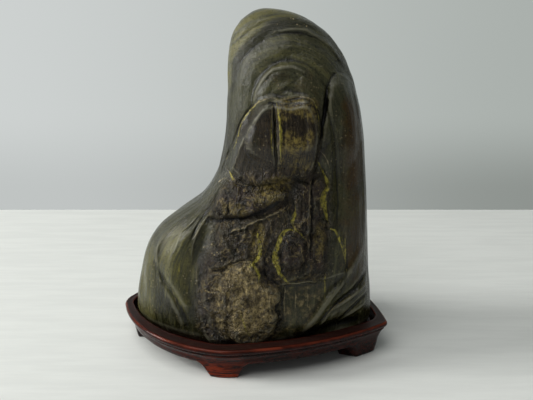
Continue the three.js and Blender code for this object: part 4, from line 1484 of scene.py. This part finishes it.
@dataclass
class Stand:
    """The carved stand: a moulded wall swept round the plan, a recess and five bracket feet.

    Everything is in millimetres. outer is the plan of the rim's edge, inner that of the recess and
    base that of the wall's foot: corner arcs of (x, y, radius, radius of the shallow arc to the next
    corner). pitch is the way from one section to the next. The fields that end in round are the radii
    of rounded edges, rim_drop is how far the rim's one goes down, flat_inset is what the edges take
    from the rim's flat, and tool_marks is how far the carver's hand wanders.
    """

    rim_top: float = 19.0
    wall_foot: float = 9.0
    recess_floor: float = 11.7
    lip_depth: float = 4.2
    foot_thickness: float = 10.0
    recess_round: float = 1.4
    recess_flat: float = 2.0
    lip_round: float = 0.7
    flat_inset: float = 1.9
    flat_dip: float = 0.15
    rim_round: float = 1.3
    rim_drop: float = 1.5
    wall_hollow: float = 0.5
    foot_arris: float = 0.5
    tool_marks: float = 0.25
    centre: tuple[float, float] = (-2.0, -2.0)
    pitch: float = 1.0
    seed: int = 7
    outer: Rows = (
        (-62, 7.5, 13, 72), (-13, -19, 30, 165), (71.8, -16.6, 3.2, 110), (43, 26, 17, 200),
        (-28, 8.6, 39, 110),
    )
    inner: Rows = (
        (-60.8, 7.5, 9.4, 72), (-13, -18, 23.5, 165), (60.3, -9, 9, 120), (47.5, 5, 19, 90),
        (8, 9, 31.5, 200), (-28, 8.6, 31, 110),
    )
    base: Rows = (
        (-61, 7.5, 8.6, 72), (-13, -19, 24.8, 165), (65, -14.8, 4, 110), (42, 25, 13, 200),
        (-28, 8.6, 34, 110),
    )
    feet: Sequence[Foot] = (
        Foot((-16, -49), 8, 15.5),
        Foot((71, -20), 9, 16),
        Foot((55, 38), 8, 15),
        Foot((-42, 46), 8, 15),
        Foot((-74.5, 6), 8, 14.5),
    )
    finish: WoodFinish = field(default_factory=WoodFinish)

    @staticmethod
    def side_centre(a: Sequence[float], b: Sequence[float]) -> Array:
        """Finds the centre of the shallow arc tangent to two corner arcs.

        Args:
            a: the corner that the arc leaves, whose last value is the arc's radius.
            b: the corner that it reaches.

        Returns:
            The centre, x and y.
        """
        reach_a, reach_b = a[3] - a[2], a[3] - b[2]
        start, way = np.array(a[:2], float), np.array(b[:2], float) - np.array(a[:2], float)
        span = np.hypot(*way)
        along = (span**2 + reach_a**2 - reach_b**2) / (2 * span)
        across = math.sqrt(reach_a**2 - along**2)
        way /= span
        return start + way * along + np.array([-way[1], way[0]]) * across

    def outline(self, corners: Rows, steps: int = 160) -> Array:
        """Draws a closed plan outline from its corner arcs.

        Args:
            corners: the corner arcs, in order round the plan.
            steps: how many points each arc gets.

        Returns:
            The outline's points.
        """
        centres = [self.side_centre(c, corners[(i + 1) % len(corners)]) for i, c in enumerate(corners)]
        points = []
        for i, (cx, cy, radius, side_radius) in enumerate(corners):
            before, after = centres[i - 1], centres[i]
            following = np.array(corners[(i + 1) % len(corners)][:2])
            arriving = math.atan2(cy - before[1], cx - before[0])
            leaving = math.atan2(cy - after[1], cx - after[0])
            ending = math.atan2(following[1] - after[1], following[0] - after[0])
            corner_arc = ((cx, cy), radius, arriving, leaving)
            side_arc = (after, side_radius, leaving, ending)
            for middle, r, start, end in (corner_arc, side_arc):
                bearing = start + (end - start) % (2 * math.pi) * np.arange(steps) / steps
                on_arc = [middle[0] + r * np.cos(bearing), middle[1] + r * np.sin(bearing)]
                points.append(np.stack(on_arc, axis=1))
        return np.concatenate(points)

    def reach(self, outline: Array, bearing: Array) -> Array:
        """Measures from the middle to an outline.

        Args:
            outline: the outline's points.
            bearing: the directions to look in, in radians.

        Returns:
            The distance in each direction.
        """
        offset = outline - np.array(self.centre)
        angle = np.arctan2(offset[:, 1], offset[:, 0])
        order = np.argsort(angle)
        radius = np.hypot(*offset.T)
        return np.interp(bearing, angle[order], radius[order], period=2 * math.pi)

    def columns(self) -> tuple[Array, Array]:
        """Spreads the sections evenly round the outer outline.

        Returns:
            Each section's point on the outer edge, and the height of the wall's lower edge.
        """
        outline = self.outline(self.outer)
        ring = np.vstack([outline, outline[:1]])
        along = np.concatenate([[0], np.cumsum(np.hypot(*np.diff(ring, axis=0).T))])
        whole = along[-1]
        places = np.arange(round(whole / self.pitch)) * whole / round(whole / self.pitch)
        foot_edges = []
        foot_places = [along[np.argmin(np.hypot(*(outline - foot.at).T))] for foot in self.feet]
        for foot, middle in zip(self.feet, foot_places):
            beside = foot.bottom + (foot.top - foot.bottom) * np.array([0.0, 0.03])
            foot_edges += [middle + beside, middle - beside]
        places = np.unique(np.round(np.concatenate([places, *foot_edges]) % whole, 3))
        places = places[np.diff(places, prepend=places[-1] - whole) > 0.03]
        points = np.stack([np.interp(places, along, ring[:, k]) for k in (0, 1)], axis=1)
        low = np.full(len(places), self.wall_foot)
        for foot, middle in zip(self.feet, foot_places):
            way = np.abs((places - middle + whole / 2) % whole - whole / 2)
            beside = np.clip((way - foot.bottom) / (foot.top - foot.bottom), 0, 1)
            low = np.minimum(low, self.wall_foot * np.sin(beside * math.pi / 2))
        return points, low

    def top_rings(self, inner: Array, outer: Array) -> list[Ring]:
        """Lists the rings of the recess, the flat rim and its rounded edge, from the middle out.

        Args:
            inner: reach of the recess's wall in each section.
            outer: reach of the rim's edge in each section.

        Returns:
            The rings.
        """
        top, bend, lip, rim = self.rim_top, self.recess_round, self.lip_round, self.rim_round
        flat, floor = inner - self.recess_flat, self.recess_floor
        rings = [Ring(flat * share, floor) for share in (0.02, 0.3, 0.6, 0.85)]
        for turn in np.radians([0, 30, 60, 90]):
            rings.append(Ring(inner - bend + bend * math.sin(turn), floor + bend * (1 - math.cos(turn))))
        rings += [Ring(inner, height) for height in (14.0, 15.5, 17.0, 18.0)]
        for turn, mark in zip(np.radians([0, 22, 45, 68, 90]), ("", "edge", "edge", "edge", "")):
            rings.append(Ring(inner + lip * (1 - math.cos(turn)), top - lip + lip * math.sin(turn), mark))
        for share in (0.15, 0.32, 0.5, 0.68, 0.85):
            radius = inner + lip + (outer - self.flat_inset - inner) * share
            rings.append(Ring(radius, top - self.flat_dip * math.sin(math.pi * share), "flat_top"))
        for degrees in (90, 70, 50, 32, 16, 0, -16, -32, -50, -70):
            turn = np.radians(degrees)
            height = top - self.rim_drop + self.rim_drop * math.sin(turn)
            mark = "edge" if 25 < degrees < 75 else ""
            rings.append(Ring(outer - rim + rim * math.cos(turn), height, mark))
        return rings

    def wall_rings(self, outer: Array, base: Array, low: Array) -> list[Ring]:
        """Lists the rings of the groove under the rim and of the moulded wall, downwards.

        Args:
            outer: reach of the rim's edge in each section.
            base: reach of the wall's foot in each section.
            low: height of the wall's lower edge in each section.

        Returns:
            The rings.
        """
        rings = []
        for inset, drop in ((1.1, 3.1), (1.5, 3.5), (1.9, 3.9)):
            rings.append(Ring(outer - inset, self.rim_top - drop))
        lip_foot = self.rim_top - self.lip_depth
        for share in (0.0, 0.08, 0.18, 0.3, 0.42, 0.55, 0.68, 0.8, 0.9, 0.96, 1.0):
            height = lip_foot + (low - lip_foot) * share
            belly = 0.25 + 0.75 * ((lip_foot - height) / lip_foot) ** 0.7
            hollow = self.wall_hollow * math.sin(math.pi * min(share * 1.4, 1.0))
            arris = self.foot_arris if share == 1.0 else 0
            rings.append(Ring(outer + (base - outer) * belly - hollow - arris, height, "wall"))
        return rings

    def under_rings(self, base: Array, low: Array) -> list[Ring]:
        """Lists the rings of the feet's undersides, their backs and the stand's underside.

        Args:
            base: reach of the wall's foot in each section.
            low: height of the wall's lower edge in each section.

        Returns:
            The rings.
        """
        inside = base - self.foot_thickness
        rings = [Ring(base - self.foot_thickness * share, low) for share in (0.25, 0.5, 0.75)]
        rings.append(Ring(inside, low))
        for share in (0.15, 0.5, 0.85, 1.0):
            rings.append(Ring(inside - share, low + (self.wall_foot - low) * share))
        return rings + [Ring((inside - 2) * share, self.wall_foot) for share in (0.8, 0.55, 0.3, 0.02)]

    def sections(self) -> tuple[Array, dict[str, Array]]:
        """Works out every section's points, from the recess round to the underside.

        Returns:
            An array of sections by rings by (x, y, z), and the marks for the finish.
        """
        edge, low = self.columns()
        offset = edge - np.array(self.centre)
        outer = np.hypot(*offset.T)
        bearing = np.arctan2(offset[:, 1], offset[:, 0])
        inner = self.reach(self.outline(self.inner), bearing)
        base = self.reach(self.outline(self.base), bearing)
        rings = self.top_rings(inner, outer) + self.wall_rings(outer, base, low) + self.under_rings(base, low)
        radius = np.stack([ring.radius for ring in rings], axis=1)
        height = np.stack([np.broadcast_to(ring.height, outer.shape) for ring in rings], axis=1)
        x = self.centre[0] + radius * np.cos(bearing)[:, None]
        y = self.centre[1] + radius * np.sin(bearing)[:, None]
        marks = {}
        for name in ("edge", "flat_top", "wall"):
            row = np.array([ring.mark == name for ring in rings], float)
            marks[name] = np.broadcast_to(row, radius.shape)
        return np.stack([x, y, height], axis=2), marks

    def build(self) -> bpy.types.Object:
        """Makes the stand, dresses it and puts it in the frame.

        Returns:
            The stand's object.
        """
        sections, marks = self.sections()
        columns, rings = sections.shape[:2]
        points = sections.reshape(-1, 3)
        index = np.arange(columns * rings).reshape(columns, rings)
        following = np.roll(index, -1, axis=0)
        corners = [index[:, :-1], index[:, 1:], following[:, 1:], following[:, :-1]]
        faces = np.stack(corners, axis=-1).reshape(-1, 4).tolist()
        faces += [index[:, 0].tolist(), index[::-1, -1].tolist()]
        noise = LatticeNoise(self.seed)
        hand = noise.layered(points / (14.0, 9.0, 5.0), 2)[:, None]
        outward = points[:, :2] - np.array(self.centre)
        outward /= np.linalg.norm(outward, axis=1, keepdims=True)
        carved = points.copy()
        shaped = (marks["wall"] + marks["edge"]).reshape(-1, 1)
        carved[:, :2] += outward * hand * shaped * self.tool_marks
        flat = {name: np.array(values).reshape(-1) for name, values in marks.items()}
        # glow: where the finish paints light, on the front foot and the lower front wall
        near_front = np.exp(-(((points[:, 0] + 17) / 15) ** 2)) * (points[:, 1] < 0)
        low_down = smoothstep(11, 4, points[:, 2])
        flat["glow"] = np.clip(near_front * flat["wall"] * (0.25 + low_down), 0, 1)
        placed = fit_to_box(carved, *node_box("stand"))
        piece = make_object("stand_carved", placed, faces, flat)
        piece.data.materials.append(self.finish.material())
        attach(piece, "root")
        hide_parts("stand")
        log.info("stand: %d faces", len(faces))
        return piece


# ---------------------------------------------------------------- the studio


class Lamp(Enum):
    """The studio's lamps: place, target, width and height in metres, and power in watts."""

    WINDOW = ((-1.7, -0.05, 0.80), (0.0, 0.0, 0.08), 0.5, 0.9, 31.0)
    CEILING = ((-0.4, -0.45, 1.2), (-0.05, -0.05, 0.05), 0.9, 0.9, 9.0)


@dataclass
class Studio:
    """A plain pale table and wall, soft light from the upper left, and the camera.

    Places are in metres. The wall's foot is the band of painted shade where it meets the table.
    """

    table_back: float = 0.222
    lens: float = 44.0
    camera_place: tuple[float, float, float] = (0.0079, -0.3373, 0.1965)
    camera_pitch: float = 71.5
    wall_distance: float = 2.3
    table_colour: Colour = colour(225, 227, 221)
    # painted light: the wall is lit to the left, with painted shade to the right and at its foot
    wall_lit_left: Colour = colour(206, 210, 209)
    wall_shaded_right: Colour = colour(169, 175, 171)
    wall_foot_shade_left: Colour = colour(192, 196, 195)
    wall_foot_shade_right: Colour = colour(142, 147, 143)
    sky_colour: Colour = (0.9, 0.95, 1.0, 1.0)
    sky_strength: float = 0.14

    def sheet(self, name: str, corners: Sequence[tuple[float, float, float]]) -> Bench:
        """Lays one flat stage sheet.

        Args:
            name: the sheet's name.
            corners: its four corners, in metres.

        Returns:
            The bench of its paint, for the caller to finish.
        """
        piece = make_object(name, np.array(corners), [[0, 1, 2, 3]], {})
        b = Bench(name + " paint")
        piece.data.materials.append(b.material)
        return b

    def table(self) -> None:
        """Lays the pale painted table top."""
        near, far, side = -2.0, self.table_back, 3.0
        b = self.sheet("table", [(-side, near, 0), (side, near, 0), (side, far, 0), (-side, far, 0)])
        brushed = b.noise(b.scaled(b.place(), 14.0, 120.0, 1.0), 1.0, 5, 0.65)
        worn = tuple(c * 0.94 for c in self.table_colour[:3]) + (1.0,)
        b.paint(Base_Color=b.blend(b.span(brushed, 0.35, 0.65), worn, self.table_colour), Roughness=0.6)

    def wall(self) -> None:
        """Hangs the pale wall, far behind, glowing softly, with painted shade darker to the right and at its
        foot.
        """
        low, high, side, far = -1.6, 3.0, 4.0, self.wall_distance
        b = self.sheet("wall", [(-side, far, low), (side, far, low), (side, far, high), (-side, far, high)])
        spot = b.parts(b.place())
        # painted shade: darker to the right and towards the wall's foot
        shade = b.blend(b.span(spot["X"], -1.3, 1.3), self.wall_lit_left, self.wall_shaded_right)
        foot = b.blend(b.span(spot["X"], -1.0, 1.2), self.wall_foot_shade_left, self.wall_foot_shade_right)
        shade = b.blend(b.span(spot["Z"], -0.30, -0.66), shade, foot)
        b.paint(Base_Color=(0.0, 0.0, 0.0, 1.0), Specular_IOR_Level=0.0)
        b.paint(Emission_Color=shade, Emission_Strength=1.0)

    def hang(self, lamp: Lamp) -> None:
        """Hangs one soft light.

        Args:
            lamp: which of the studio's lamps.
        """
        place, target, width, height, power = lamp.value
        light = bpy.data.lights.new(lamp.name.lower(), "AREA")
        light.shape = "RECTANGLE"
        light.size, light.size_y, light.energy = width, height, power
        piece = bpy.data.objects.new(lamp.name.lower(), light)
        piece.location = place
        piece.rotation_euler = (Vector(target) - Vector(place)).to_track_quat("-Z", "Y").to_euler()
        bpy.context.scene.collection.objects.link(piece)

    def sky(self) -> None:
        """Fills the room with a faint even light."""
        world = bpy.data.worlds.new("room")
        world.use_nodes = True
        background = world.node_tree.nodes["Background"]
        background.inputs["Color"].default_value = self.sky_colour
        background.inputs["Strength"].default_value = self.sky_strength
        bpy.context.scene.world = world

    def camera(self) -> None:
        """Stands the camera in front of the table."""
        camera = bpy.data.cameras.new("camera")
        camera.lens = self.lens
        camera.sensor_width = 36.0
        camera.clip_start = 0.01
        stand = bpy.data.objects.new("camera", camera)
        stand.location = self.camera_place
        stand.rotation_euler = (math.radians(self.camera_pitch), 0, 0)
        bpy.context.scene.collection.objects.link(stand)
        bpy.context.scene.camera = stand

    def build(self) -> None:
        """Sets up the stage, the lights and the camera."""
        self.table()
        self.wall()
        for lamp in Lamp:
            self.hang(lamp)
        self.sky()
        bpy.context.scene.view_settings.view_transform = "Standard"
        self.camera()
        log.info("studio: table, wall, lights and camera")


def main() -> None:
    """Builds the studio, the stand and the stone."""
    logging.basicConfig(level=logging.INFO, format="%(name)s: %(message)s")
    Studio().build()
    Stand().build()
    Stone().build()


if __name__ == "__main__":
    main()
